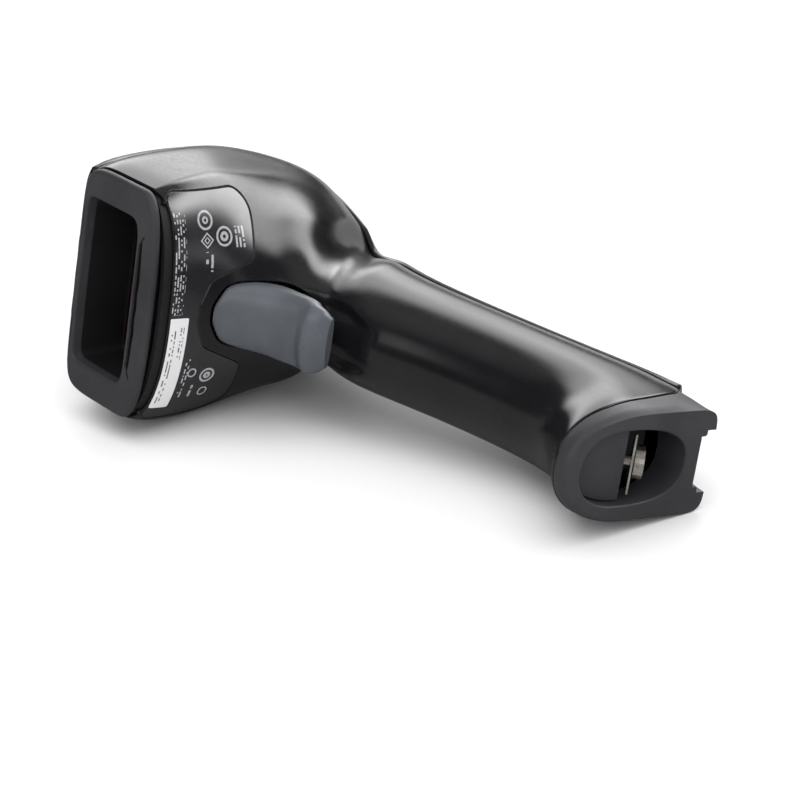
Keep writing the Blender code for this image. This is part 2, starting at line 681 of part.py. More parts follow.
def build_trigger_mount():
    """Pivot pin, the bracket that holds it and the return spring wound round it."""
    px, pz = TRIGGER_PIVOT
    half = TRIGGER_PIN_HALF
    cylinder("trigger_pin", (px, -half, pz), (px, half, pz), TRIGGER_PIN_RADIUS, "steel")
    cheek_inner_y, cheek_outer_y = half - 2.0, half + 0.6
    bracket = box("trigger_bracket", (px - 4.5, -cheek_outer_y, pz - 2.8),
                  (px + 4.5, cheek_outer_y, pz + 4.4), "inner_plastic")
    cut(bracket, box("bracket_mouth_cutter", (px - 6, -cheek_inner_y, pz - 8),
                     (px + 6, cheek_inner_y, pz + 3.4), None, CUTTERS))
    cut(bracket, cylinder("bracket_hole_cutter", (px, -half - 2, pz), (px, half + 2, pz),
                          TRIGGER_PIN_RADIUS + 0.05, None, CUTTERS))

    coil_radius, wire, turns, per_turn, half_length = 2.1, 0.3, 5, 12, 3.2
    upper_leg, lower_leg = 2.6, 4.0
    coil = [(px + coil_radius, -half_length, pz + upper_leg)]
    for i in range(turns * per_turn + 1):
        theta = 2 * math.pi * i / per_turn
        along = -half_length + 2 * half_length * i / (turns * per_turn)
        coil.append((px + coil_radius * math.cos(theta), along,
                     pz + coil_radius * math.sin(theta)))
    coil.append((px + coil_radius, half_length, pz - lower_leg))
    tube_along("trigger_spring", coil, wire, "steel")


def build_switch():
    """Switch with its plunger, on the upright board that also carries the charger chip."""
    body = box("trigger_switch", (SWITCH_BACK_X, -SWITCH_HALF, SWITCH_Z - SWITCH_HALF),
               (SWITCH_FRONT_X, SWITCH_HALF, SWITCH_Z + SWITCH_HALF), "chip_black")
    cut(body, cylinder("plunger_bore_cutter", (SWITCH_BACK_X + SWITCH_FLOOR, 0, SWITCH_Z),
                       (SWITCH_FRONT_X + 4, 0, SWITCH_Z), PLUNGER_RADIUS + GAP, None, CUTTERS))
    tip = RIB_BACK_X - PLUNGER_TIP_GAP
    plunger = cylinder("switch_plunger", (SWITCH_FRONT_X - PLUNGER_INSERT, 0, SWITCH_Z),
                       (tip, 0, SWITCH_Z), PLUNGER_RADIUS, "inner_plastic")
    set_origin(plunger, (tip, 0, SWITCH_Z))
    board_back_x, board_front_x = -51.4, -49.9
    box("switch_board", (board_back_x, -8.0, -52.0), (board_front_x, 8.0, -27.0), "board_green")
    box("charger_chip", (SWITCH_BACK_X, -5.0, -50.0), (-48.2, 5.0, -40.5), "chip_black")


# ---------------------------------------------------------------- laser engine and electronics
def build_chassis():
    """Cast chassis of the laser engine, open at the front and on top."""
    chassis = box("engine_chassis", CHASSIS_LOW, CHASSIS_HIGH, "aluminium")
    low = [CHASSIS_LOW[0] + CHASSIS_WALL, CHASSIS_LOW[1] + 3.4, CHASSIS_LOW[2] + CHASSIS_WALL]
    high = [CHASSIS_HIGH[0] + 9, CHASSIS_HIGH[1] - 3.4, CHASSIS_HIGH[2] + 7]
    cut(chassis, box("chassis_pocket_cutter", low, high, None, CUTTERS))
    for index, (x, y) in enumerate(BOARD_SCREWS_AT):
        cut(chassis, cylinder(f"board_screw_bore_{index}", (x, y, 7.0), (x, y, 16.0), 1.1,
                              None, CUTTERS, 12))


def build_optics():
    """Laser, fold mirror, swinging scan mirror with its coil, collecting mirror and detector."""
    x, z = LASER_AT
    cylinder("laser_module", (x, -17.6, z), (x, -6.0, z), 3.3, "brass")
    cylinder("collimator_lens", (x, -5.7, z), (x, -4.5, z), 2.2, "clear_plastic", sides=16)
    fold = box("fold_mirror", (x - 2.6, 2.6, z - 3.5), (x + 2.6, 3.4, z + 3.5), "mirror")
    set_origin(fold, (x, 3.0, z))
    fold.rotation_euler.z = math.radians(45)

    x, y = MIRROR_AT
    half_x, half_y, half_z = MIRROR_HALF
    mirror = box("scan_mirror", (x - half_x, y - half_y, -half_z),
                 (x + half_x, y + half_y, half_z), "mirror")
    cut(mirror, cylinder("mirror_shaft_guide", (x, y, -10.6), (x, y, 8.0), 0.8, None,
                         CUTTERS, 12), "UNION")
    set_origin(mirror, (x, y, 0))
    mirror.rotation_euler.z = math.radians(45)
    coil = cylinder("mirror_coil", (x - 6.0, y + 6.0, 0), (x - 8.2, y + 8.2, 0), 3.0, "copper")
    cut(coil, cylinder("coil_hole_cutter", (x - 4.0, y + 4.0, 0), (x - 10, y + 10, 0), 1.4,
                       None, CUTTERS, 12))

    collector = box("collecting_mirror", (-55.6, -14.5, -10.6), (-50.4, 16.0, 9.0), "mirror")
    bm = bmesh.new()
    bmesh.ops.create_uvsphere(bm, u_segments=32, v_segments=20, radius=COLLECTOR_RADIUS)
    bmesh.ops.translate(bm, vec=(-10.0, 0.75, 0.0), verts=bm.verts)
    cut(collector, new_object("collector_sphere_cutter", bm, None, CUTTERS))
    box("detector_board", (-40.0, 16.4, -9.0), (-26.0, 17.8, 7.0), "board_green")
    box("photo_detector", (-36.0, 14.6, -4.0), (-30.0, 16.1, 2.0), "chip_black")


def build_main_board():
    """Main board with its screws and parts, and the flat cable down to the switch board."""
    low_z, high_z = BOARD_Z
    board = box("main_board", (-72.0, -21.5, low_z), (-21.0, 21.5, high_z), "board_green")
    for index, (x, y) in enumerate(BOARD_SCREWS_AT):
        cut(board, cylinder(f"board_hole_cutter_{index}", (x, y, low_z - 3), (x, y, high_z + 3),
                            1.3, None, CUTTERS, 12))
        head = cylinder(f"board_screw_{index + 1}", (x, y, high_z + 0.2),
                        (x, y, high_z + 1.6), 2.0, "steel", sides=14)
        cut(head, cylinder(f"board_screw_shank_guide_{index}", (x, y, 8.0),
                           (x, y, high_z + 0.8), 0.9, None, CUTTERS, 12), "UNION")
    top = high_z + GAP
    box("decoder_chip", (-44.0, -13.0, top), (-32.0, -1.0, top + 1.6), "chip_black")
    box("radio_module", (-56.0, 4.0, top), (-40.0, 17.0, top + 2.4), "aluminium")
    cylinder("beeper", (-66.0, -11.0, top), (-66.0, -11.0, top + 4.0), 5.5, "chip_black")
    x, z = STATUS_LIGHT_AT
    box("status_led", (x - 1.5, -1.5, top), (x + 1.5, 1.5, top + 1.0), "clear_plastic")

    flex = ((-68.0, 12.9), (-72.5, 11.6), (-74.5, 7.0), (-74.0, -4.0), (-69.0, -16.0),
            (-60.0, -24.0), (-54.0, -29.0), (-52.2, -34.0))
    side_prism("flex_cable", strip_outline(flex, 0.3), 5.0, "flex_amber", y_center=5.0)


# ---------------------------------------------------------------- battery and foot
def battery_axis():
    """Unit vector along the battery, pointing out of the foot."""
    lean = math.radians(BATTERY_LEAN)
    return Vector((math.sin(lean), 0, -math.cos(lean)))


def build_foot():
    """Foot collar with its turned-in rim, its opening and the two heel prongs."""
    start = SHELL_END + COLLAR_TOP_GAP
    end = SHELL_END + RIM_ROUND_START
    rings = [full_ring(body_row(u), COLLAR_STEP) for u in (start, (start + end) / 2, end)]
    rings.append(full_ring(FOOT_RIM))
    rings.append(full_ring(FOOT_OPENING))
    heel_x, heel_z, toe_x, toe_z = FOOT_OPENING[:4]
    heel_rise, toe_rise = OPENING_RISE
    lean = math.tan(math.radians(BATTERY_LEAN))
    top_row = (heel_x - lean * heel_rise, heel_z + heel_rise,
               toe_x - lean * toe_rise, toe_z + toe_rise) + FOOT_OPENING[4:]
    rings.append(full_ring(top_row))
    collar = ring_loft("foot_collar", rings, "bumper_grey", closed=True)
    cut(collar, box("heel_notch_cutter", HEEL_NOTCH_LOW, HEEL_NOTCH_HIGH, None, CUTTERS))


def build_battery():
    """Battery cell with its contacts, and the cap that closes the foot."""
    axis = battery_axis()
    top = Vector((BATTERY_TOP[0], 0, BATTERY_TOP[1]))
    cylinder("battery_cell", top, top + axis * CELL_LENGTH, CELL_RADIUS, "cell_wrap", sides=32)
    radius, height = TERMINAL
    cylinder("cell_terminal", top - axis * (height + GAP), top - axis * GAP, radius, "steel")
    contact = top - axis * 2.0
    cylinder("top_contact", contact - axis * 0.8, contact, 5.0, "brass")

    cap = side_prism("battery_cap", CAP_OUTLINE, CAP_HALF_WIDTH, "bumper_grey")
    low = full_ring(FOOT_OPENING, CAP_SHRINK)
    reach = 24.0
    high = [p - axis * reach for p in low]
    cut(cap, ring_loft("cap_outline_guide", [low, high], None, CUTTERS), "INTERSECT")
    at = Vector((CAP_SCREW_AT[0], 0, CAP_SCREW_AT[1]))
    out = cap_screw_axis()
    cut(cap, cylinder("screw_hole_cutter", at - out * 14, at + out * 2, CAP_SCREW_HOLE_RADIUS,
                      None, CUTTERS, 16))


def cap_screw_axis():
    """Unit vector along the cap screw, from its shank to its head."""
    tilt = math.radians(CAP_SCREW_TILT)
    return Vector((-math.sin(tilt), 0, -math.cos(tilt)))


def build_cap_screw():
    """Captive cross-head screw and the sprung plate under its head."""
    out = cap_screw_axis()
    turn = out.to_track_quat("X", "Z").to_euler()
    at = Vector((CAP_SCREW_AT[0], 0, CAP_SCREW_AT[1]))
    radius, height = CAP_SCREW_HEAD
    shank_radius, shank_length = CAP_SCREW_SHANK
    head = cylinder("cap_screw", at - out * height / 2, at + out * height / 2, radius, "steel",
                    sides=24)
    cut(head, cylinder("cap_screw_shank_guide", at - out * shank_length, at, shank_radius, None,
                       CUTTERS, 12), "UNION")
    slot_half_depth = 0.95
    middle = at + out * (height / 2 + 0.05)
    length, width = CROSS_SLOT
    for index, (half_y, half_z) in enumerate(((width / 2, length / 2), (length / 2, width / 2))):
        low = (-slot_half_depth, -half_y, -half_z)
        high = (slot_half_depth, half_y, half_z)
        slot = box(f"cross_slot_cutter_{index}", low, high, None, CUTTERS)
        slot.location = middle * MM
        slot.rotation_euler = turn
        cut(head, slot)
    set_origin(head, at)

    thickness, length, width = SCREW_PLATE
    plate_at = at - out * (height / 2 + thickness)
    plate = box("screw_plate", (-thickness / 2, -length / 2, -width / 2),
                (thickness / 2, length / 2, width / 2), "steel")
    plate.location = plate_at * MM
    plate.rotation_euler = turn
    cut(plate, cylinder("plate_hole_cutter", plate_at - out, plate_at + out,
                        CAP_SCREW_HOLE_RADIUS, None, CUTTERS, 16))


# ---------------------------------------------------------------- rest pose
def lay_on_table():
    """Turn the scanner onto its right side and put its box's bottom centre at the origin."""
    ROOT.matrix_world = rest_turn()
    graph = bpy.context.evaluated_depsgraph_get()
    graph.update()
    corners = []
    for obj in PARTS.objects:
        if obj.type == "MESH":
            solid = obj.evaluated_get(graph)
            corners += [solid.matrix_world @ v.co for v in solid.data.vertices]
    low = [min(p[i] for p in corners) for i in range(3)]
    high = [max(p[i] for p in corners) for i in range(3)]
    shift = Vector((-(low[0] + high[0]) / 2, -(low[1] + high[1]) / 2, -low[2]))
    ROOT.matrix_world = Matrix.Translation(shift) @ ROOT.matrix_world


build_housings()
build_label()
build_nose()
build_trigger()
build_trigger_mount()
build_switch()
build_chassis()
build_optics()
build_main_board()
build_foot()
build_battery()
build_cap_screw()
lay_on_table()
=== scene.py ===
"""Looks of the cordless handheld barcode scanner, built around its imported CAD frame.

Shapes are modelled in the scanner's own frame, in millimetres: +X is the scan direction,
+Y the scanner's left and +Z its top. SCANNER, worked out from two joint axes of the record,
carries them to the row frame.
"""
import json
import math

import bmesh
import bpy
import numpy as np
from mathutils import Matrix, Vector
from mathutils.bvhtree import BVHTree


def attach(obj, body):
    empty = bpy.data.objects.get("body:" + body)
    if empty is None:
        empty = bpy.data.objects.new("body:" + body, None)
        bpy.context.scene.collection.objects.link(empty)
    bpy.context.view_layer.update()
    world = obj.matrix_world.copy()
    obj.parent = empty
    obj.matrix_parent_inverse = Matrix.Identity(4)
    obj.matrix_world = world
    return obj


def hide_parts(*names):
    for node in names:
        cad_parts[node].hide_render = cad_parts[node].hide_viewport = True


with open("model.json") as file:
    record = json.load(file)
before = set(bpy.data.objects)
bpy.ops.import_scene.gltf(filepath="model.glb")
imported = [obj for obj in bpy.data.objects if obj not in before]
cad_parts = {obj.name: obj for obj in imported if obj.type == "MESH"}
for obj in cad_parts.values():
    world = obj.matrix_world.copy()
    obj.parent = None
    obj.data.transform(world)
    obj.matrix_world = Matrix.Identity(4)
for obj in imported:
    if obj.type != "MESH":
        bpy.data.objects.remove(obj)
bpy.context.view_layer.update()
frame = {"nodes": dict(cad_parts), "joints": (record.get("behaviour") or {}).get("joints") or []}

MM = 0.001

# ---- driving dimensions (mm)
MIRROR_AXIS_AT = (-33.0, 0.0, 0.0)
SEAM_ANGLE = 45.0
SEAM_HALF_GAP = 0.16
EDGE_ROUND = 0.45
WALL = 1.6
GRID_STEP = 1.05            # spacing of the body's surface grid

# Body stations, nose to foot: outer x, outer z, inner x, inner z, half width, ridge place,
# outer power, inner power, crease
BODY_STATIONS = (
    (-2.8, 15.4, -5.4, -24.0, 33.0, 0.72, 8.0, 2.8, 0.60),
    (-12.0, 18.5, -12.0, -24.5, 34.6, 0.69, 8.0, 2.8, 0.45),
    (-30.0, 23.3, -21.0, -25.0, 35.5, 0.62, 7.0, 2.7, 0.35),
    (-50.0, 26.0, -29.0, -27.0, 34.8, 0.48, 6.0, 2.6, 0.25),
    (-70.0, 24.5, -36.0, -32.0, 31.3, 0.36, 4.5, 2.4, 0.15),
    (-85.0, 15.5, -40.0, -38.0, 25.8, 0.34, 3.2, 2.2, 0.05),
    (-90.0, 0.0, -42.0, -44.0, 17.3, 0.40, 2.5, 2.2, 0.0),
    (-86.5, -20.0, -43.5, -52.0, 15.9, 0.48, 2.2, 2.3, 0.0),
    (-84.8, -42.0, -45.4, -63.0, 15.7, 0.50, 2.2, 2.3, 0.0),
    (-88.0, -70.0, -50.2, -80.0, 15.5, 0.50, 2.2, 2.3, 0.0),
    (-92.7, -98.0, -54.8, -104.0, 15.5, 0.50, 2.2, 2.3, 0.0),
    (-95.2, -120.0, -55.5, -121.0, 15.8, 0.50, 2.4, 2.3, 0.0),
    (-93.8, -131.0, -51.5, -132.0, 16.0, 0.50, 3.0, 2.3, 0.0),
    (-91.4, -139.5, -44.0, -142.0, 16.1, 0.50, 4.2, 2.2, 0.0),
    (-88.5, -151.5, -42.6, -147.2, 15.4, 0.50, 6.0, 2.2, 0.0),
)
SHELL_SPAN = (0.045, 12.95)     # first and last station of the shells
LABEL_SPAN = 3.4            # last station of the sheet the label is cut from
FOOT_FACE = 14.0
FAR = 30.0                  # stands for a distance that doesn't matter
ON_LINE = 1e-5              # field difference below which a vertex lies on a contour
SIDE_FLAT_REACH = 40.452    # distance from the mouth's centre to the flat the head rests on
SIDE_FLAT_BLEND = 0.25      # softness of the flat's edge
SIDE_FLAT_FREE = 12.0       # room, in blends, from which the flat has no effect

# Nose bumper and its opening: same nine numbers as a body station. The neck behind it has
# rings at a distance behind the mouth and an inset below the shells' skin.
BEZEL_OUTLINE = (0.0, 14.4, -2.2, -20.4, 32.6, 0.72, 8.0, 3.0, 0.0)
BEZEL_DEPTH = 2.4
OPENING_OUTLINE = (-0.3, 12.3, -1.8, -11.8, 23.8, 0.50, 12.0, 9.0, 0.0)
SPIGOT_END = -15.5
SPIGOT_WALL = 1.8
BEZEL_EDGE = 1.3            # outer edge's radius
BEZEL_UNDERCUT = 2.2        # how far the bumper reaches inwards behind the shells' front edge
LIP_RADIUS = 0.9            # radius of the edge of the opening
LIP_SLOT = (17.5, 0.75, 2.6)    # half length, half width, depth
SLOT_END = 0.8              # length over which the slot runs out at either end
LIP_RIB = (2.0, 0.3)        # width and height of the light rib between opening and slot
NECK_SPAN = (0.2, 9.2, 0.95)    # distances behind the mouth at stations 0 and 0.95
NECK_RINGS = ((10.0, 3.2), (10.0, 1.5), (6.0, 1.5), (2.0, 1.5), (0.2, 1.6), (0.2, 3.2))
NECK_SETBACK = 0.36         # stations by which the underside stands back from the bumper

# Foot: rim of the collar's face and opening in it, same nine numbers as a body station
COLLAR_TOP = 13.045
FOOT_RIM = (-88.2, -152.0, -43.6, -147.8, 14.2, 0.46, 9.0, 2.2, 0.0)
FOOT_OPENING = (-80.0, -151.228, -47.6, -148.177, 10.0, 0.60, 2.6, 2.2, 0.0)
OPENING_RISE = (11.2, 4.4)  # depth of the opening at the heel and at the toe
COLLAR_INSET = 0.35         # step from the shells' skin down to the collar
COLLAR_WALL = 2.0
COLLAR_EDGE = 0.5
COLLAR_SIDE_END = 13.66     # station where the side starts to turn into the rim
COLLAR_BULGE = 0.12         # crown of that turn, as a share of its length
OPENING_EDGE = 0.6
HEEL_NOTCH = (8.5, -84.0)   # half width and x of the notch between the heel prongs
HEEL_NOTCH_CORNER = 1.6
HEEL_CUTTER = (-98.0, -158.2, 12.0)     # rear x, bottom z and height of the notch's cutter
BATTERY_LEAN = 3.8          # degrees

# Seam between shells and collar: section angle and station offset
FOOT_SEAM = ((0.0, -0.85), (30.0, -0.7), (45.0, -0.42), (58.0, -0.05), (70.0, 0.17), (90.0, 0.3),
             (110.0, 0.3), (130.0, 0.14), (150.0, 0.0), (180.0, 0.0))

# Status light in the head's top: x and z of its lens, and radius of its hole
STATUS_LIGHT_AT = (-61.0, 25.9)
STATUS_LIGHT_HOLE = 2.7

# Finger scoop in the handle just below the trigger's tip
SCOOP_TOP_Z = -50.0
SCOOP_LENGTH = 15.0
SCOOP_HALF_WIDTH = 10.4
SCOOP_DEPTH = 2.8
SCOOP_EDGE = 2.6
SCOOP_START = ((34.0, 41.5), (-66.0, -56.0))    # depths below the axis and x where it begins

# Crease between head and handle: z of the line and inward pull at it, every CREASE_PITCH along x
CREASE_START = -30.0
CREASE_PITCH = 12.0
CREASE_LINE = ((-25.5, 0.5), (-28.0, 1.4), (-26.8, 2.4), (-21.4, 3.4), (-14.0, 4.4), (-8.5, 2.6))
CREASE_TAIL = 19.0          # length over which the pull dies out towards the foot
CREASE_LIP = 8.0            # length over which it dies out on the head
CREASE_SIDES = (4.0, 14.0)  # distances from the middle plane over which it takes hold

# Outlines on the underside, seen from below: x, y, corner radius; left half, front to rear
LABEL_OUTLINE = ((-6.9, 32.9, 2.5), (-34.2, 32.6, 5.0), (-31.4, 15.0, 2.4),
                 (-19.2, 9.6, 4.0), (-16.3, 2.6, 4.0))
STICKER_CORNERS = ((-7.6, -0.5), (-13.4, -28.5))
LABEL_RECESS = 0.45
LABEL_EDGE = (-0.06, 0.3)   # distances from the outline over which the recess deepens
LABEL_GAP = 0.2
LABEL_FILM = 0.1
STICKER_FILM = 0.08
STICKER_CORNER = 0.4
FILM_GAP = 0.04             # air under each film
FILM_EDGE = 0.03
UNDERSIDE_TOP = -6.0        # the underside lies below this z


# ---- frame of the scanner
JOINTS = {joint["name"]: joint for joint in frame["joints"]}


def scanner_matrix():
    """Matrix from the scanner's millimetres to the row frame, from two joint axes."""
    left = Vector(JOINTS["trigger_pull"]["axis"]).normalized()
    top = Vector(JOINTS["mirror_swing"]["axis"]).normalized()
    turn = Matrix((left.cross(top), left, top)).transposed()
    origin = Vector(JOINTS["mirror_swing"]["pos_m"]) - turn @ (Vector(MIRROR_AXIS_AT) * MM)
    return Matrix.Translation(origin) @ turn.to_4x4() @ Matrix.Scale(MM, 4)


SCANNER = scanner_matrix()


# ---- curves and sections
def cubic_spline(rows):
    """A twice-smooth curve through rows at whole numbers."""
    y = np.array(rows, float)
    count = len(y)
    system = np.eye(count)
    right = np.zeros_like(y)
    for i in range(1, count - 1):
        system[i, i - 1:i + 2] = (1, 4, 1)
        right[i] = 6 * (y[i + 1] - 2 * y[i] + y[i - 1])
    bend = np.linalg.solve(system, right)

    def value(u):
        u = np.clip(np.asarray(u, float), 0, count - 1)
        i = np.minimum(u.astype(int), count - 2)
        t = (u - i)[..., None]
        s = 1 - t
        return (y[i] * s + y[i + 1] * t
                + ((s ** 3 - s) * bend[i] + (t ** 3 - t) * bend[i + 1]) / 6)

    return value


body_row = cubic_spline(BODY_STATIONS)
crease_line = cubic_spline(CREASE_LINE)


def section_point(row, angle, inset=0.0):
    """Points of cross-sections; angle runs 0 (outer) to 180 (inner), left side up to 180."""
    angle = np.asarray(angle, float) % 360
    side = np.where(angle > 180, -1.0, 1.0)
    theta = np.radians(np.where(angle > 180, 360 - angle, angle))
    outer, inner = row[..., 0:2], row[..., 2:4]
    width, ridge, power_out, power_in, crease = np.moveaxis(row[..., 4:9], -1, 0)
    span = inner - outer
    depth = np.linalg.norm(span, axis=-1)
    across = span / depth[..., None]
    widest = outer + across * (depth * ridge)[..., None]
    width = width - inset
    s, c = np.abs(np.sin(theta)), np.abs(np.cos(theta))
    upper = theta <= np.pi / 2
    power = np.where(upper, power_out, power_in)
    y = width * s ** (2 / power)
    reach = np.where(upper, depth * ridge, depth * (1 - ridge)) - inset
    rounded = reach * c ** (2 / power)
    flat = reach * (1 - (y / width) ** power_in)
    height = np.where(upper, -rounded, rounded * (1 - crease) + flat * crease)
    place = widest + across * height[..., None]
    return np.stack([place[..., 0], y * side, place[..., 1]], -1)


def ramp(values, start, end):
    """0 before start, 1 after end, smooth in between."""
    t = np.clip((np.asarray(values, float) - start) / (end - start), 0, 1)
    return t * t * (3 - 2 * t)


def side_flat(points):
    """The points, kept softly behind the two flats on which the head can rest."""
    up = np.array(SCANNER.to_3x3())[2] / MM
    for side in (1.0, -1.0):
        out = -up * (1.0, side, 1.0)
        room = (SIDE_FLAT_REACH - points @ out) / SIDE_FLAT_BLEND
        soft = np.where(room > SIDE_FLAT_FREE, room,
                        np.log1p(np.exp(np.minimum(room, SIDE_FLAT_FREE))))
        points = points - ((soft - room) * SIDE_FLAT_BLEND)[..., None] * out
    return points


def creased(points):
    """The points, drawn in below the crease line where the head overhangs the handle."""
    x, y, z = points[..., 0], points[..., 1], points[..., 2]
    line = crease_line((CREASE_START - x) / CREASE_PITCH)
    below = line[..., 0] - z
    amount = line[..., 1]
    profile = np.where(below > 0, 1 - ramp(below, 0.0, CREASE_TAIL), 1 - ramp(-below, 0.0, CREASE_LIP))
    moved = amount * profile * ramp(np.abs(y), *CREASE_SIDES)
    return np.stack([x, y - np.sign(y) * moved, z], -1)


def surface(u, angle, inset=0.0):
    """Points of the body's skin."""
    return side_flat(creased(section_point(body_row(u), angle, inset)))


def surface_normal(u, angle):
    """Outward unit normals of the body's skin."""
    step_u, step_a = 0.02, 0.4
    along = surface(np.minimum(u + step_u, FOOT_FACE), angle) - surface(np.maximum(u - step_u, 0), angle)
    around = surface(u, angle + step_a) - surface(u, angle - step_a)
    normal = np.cross(around, along)
    return normal / np.linalg.norm(normal, axis=-1, keepdims=True)


def even_angles(row, start, end, count, trim_start=0.0, trim_end=0.0):
    """Angles between two section angles, evenly spaced by length of arc."""
    dense = np.linspace(start, end, 400)
    points = section_point(np.repeat(row[None], len(dense), 0), dense)
    run = np.concatenate([[0], np.cumsum(np.linalg.norm(np.diff(points, axis=0), axis=1))])
    return np.interp(np.linspace(trim_start, run[-1] - trim_end, count + 1), run, dense)


def rounded_outline(corners, steps=8):
    """A closed polygon whose corners (x, y, radius) are rounded with arcs."""
    points = []
    count = len(corners)
    for i, (x, y, radius) in enumerate(corners):
        here = np.array((x, y))
        before = np.array(corners[i - 1][:2]) - here
        after = np.array(corners[(i + 1) % count][:2]) - here
        a, b = before / np.linalg.norm(before), after / np.linalg.norm(after)
        half = math.acos(max(-1.0, min(1.0, float(a @ b)))) / 2
        reach = min(radius / math.tan(half), 0.49 * np.linalg.norm(before), 0.49 * np.linalg.norm(after))
        radius = reach * math.tan(half)
        middle = (a + b) / np.linalg.norm(a + b)
        center = here + middle * (radius / math.sin(half))
        first, last = here + a * reach - center, here + b * reach - center
        sweep = math.pi - 2 * half
        turn = math.copysign(1.0, first[0] * last[1] - first[1] * last[0])
        for k in range(steps + 1):
            angle = turn * sweep * k / steps
            c, s = math.cos(angle), math.sin(angle)
            points.append(center + (c * first[0] - s * first[1], s * first[0] + c * first[1]))
    return np.array(points)


def outline_distance(outline, points):
    """Signed distance from points to a closed outline, negative inside."""
    a = outline
    b = np.roll(outline, -1, 0)
    best = np.full(len(points), 1e9)
    inside = np.zeros(len(points), bool)
    for p, q in zip(a, b):
        edge = q - p
        rel = points - p
        t = np.clip(rel @ edge / max(edge @ edge, 1e-12), 0, 1)
        best = np.minimum(best, np.linalg.norm(rel - t[:, None] * edge, axis=1))
        crosses = (p[1] > points[:, 1]) != (q[1] > points[:, 1])
        if abs(edge[1]) > 1e-12:
            at = p[0] + (points[:, 1] - p[1]) * edge[0] / edge[1]
            inside ^= crosses & (points[:, 0] < at)
    return np.where(inside, -best, best)


# ---- mesh helpers
def grid_bmesh(points, wrap=False):
    """A quad mesh over a grid of points; wrap joins the last column to the first."""
    bm = bmesh.new()
    rows = [[bm.verts.new(p) for p in row] for row in points]
    count = len(rows[0])
    for near, far in zip(rows, rows[1:]):
        for j in range(count if wrap else count - 1):
            k = (j + 1) % count
            bm.faces.new((near[j], near[k], far[k], far[j]))
    return bm


def vertex_values(bm, layer):
    """A layer's value at every vertex."""
    return np.array([v[layer] for v in bm.verts])


def positions(bm):
    """Every vertex's place."""
    return np.array([v.co for v in bm.verts])


def set_layer(bm, layer, values):
    """Give every vertex its value in a layer."""
    for vert, value in zip(bm.verts, values):
        vert[layer] = float(value)


def cut_contour(bm, layer, level):
    """Split the mesh along the line where a vertex field has a value."""
    for edge in list(bm.edges):
        a, b = edge.verts
        fa, fb = a[layer] - level, b[layer] - level
        if fa * fb < 0 and min(abs(fa), abs(fb)) > ON_LINE:
            share = fa / (fa - fb)
            _, vert = bmesh.utils.edge_split(edge, a, share)
            vert[layer] = level
    on_line = [v for v in bm.verts if abs(v[layer] - level) <= ON_LINE]
    bmesh.ops.connect_verts(bm, verts=on_line)


def delete_inside(bm, layer, level=0.0):
    """Remove the faces whose field lies below a level."""
    doomed = [f for f in bm.faces if sum(v[layer] - level for v in f.verts) < 0]
    bmesh.ops.delete(bm, geom=doomed, context="FACES")


def rim_directions(bm):
    """For each boundary vertex, the way out of the sheet, in its surface."""
    ways = {}
    for edge in bm.edges:
        if len(edge.link_faces) != 1:
            continue
        face = edge.link_faces[0]
        a, b = edge.verts
        away = (b.co - a.co).cross(face.normal).normalized()
        if away.dot(face.calc_center_median() - (a.co + b.co) / 2) > 0:
            away.negate()
        for vert in (a, b):
            ways.setdefault(vert, []).append(away)
    directions = {}
    for vert, out in ways.items():
        middle = sum(out, Vector()).normalized()
        stretch = 1 / max(0.5, sum(middle.dot(w) for w in out) / len(out))
        directions[vert] = middle * stretch
    return directions


def thicken(bm, thickness, radius, rim_steps=4):
    """Turn a sheet into a closed shell whose rims are rounded on the outside."""
    bm.normal_update()
    directions = rim_directions(bm)
    normals = {v: v.normal.copy() for v in bm.verts}
    border = [e for e in bm.edges if len(e.link_faces) == 1]
    inner = {v: bm.verts.new(v.co - normal * thickness) for v, normal in normals.items()}
    for face in list(bm.faces):
        bm.faces.new([inner[v] for v in reversed(face.verts)])
    turns = [math.pi / 2 * k / rim_steps for k in range(1, rim_steps + 1)]
    profile = [(radius * math.sin(t), radius * (1 - math.cos(t))) for t in turns]
    chain = {v: [v] for v in directions}
    for out, down in profile + [(radius, thickness)]:
        for vert, way in directions.items():
            chain[vert].append(bm.verts.new(vert.co + way * out - normals[vert] * down))
    for vert in directions:
        chain[vert].append(inner[vert])
    for edge in border:
        a, b = edge.verts
        if edge.link_loops[0].vert is a:
            a, b = b, a
        for i in range(len(chain[a]) - 1):
            bm.faces.new((chain[a][i], chain[b][i], chain[b][i + 1], chain[a][i + 1]))


def link_object(name, data):
    """A new object in the scene's collection."""
    obj = bpy.data.objects.new(name, data)
    bpy.context.scene.collection.objects.link(obj)
    return obj


def mesh_object(name, bm):
    """A new object from a bmesh, which is freed."""
    mesh = bpy.data.meshes.new(name)
    bm.to_mesh(mesh)
    bm.free()
    return link_object(name, mesh)


def to_object(name, bm, material, body, replaces=()):
    """Move a bmesh in scanner millimetres to the row frame and make it ride on a body."""
    bm.transform(SCANNER)
    bm.normal_update()
    obj = mesh_object(name, bm)
    mesh = obj.data
    mesh.materials.append(material)
    mesh.shade_smooth()
    mesh.set_sharp_from_angle(angle=math.radians(40))
    if "skin" in mesh.attributes:  # exact normals of the smooth skin, in scanner axes
        count = len(mesh.vertices)
        wanted, skin = np.zeros(count * 3, np.float32), np.zeros(count * 3, np.float32)
        mesh.vertex_normals.foreach_get("vector", wanted)
        mesh.attributes["skin"].data.foreach_get("vector", skin)
        wanted, skin = wanted.reshape(-1, 3), skin.reshape(-1, 3)
        kept = np.linalg.norm(skin, axis=1) > 0.5
        turn = np.array(SCANNER.to_3x3()) / MM
        wanted[kept] = skin[kept] @ turn.T
        mesh.normals_split_custom_set_from_vertices(wanted)
    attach(obj, body)
    if replaces:
        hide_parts(*replaces)
    return obj


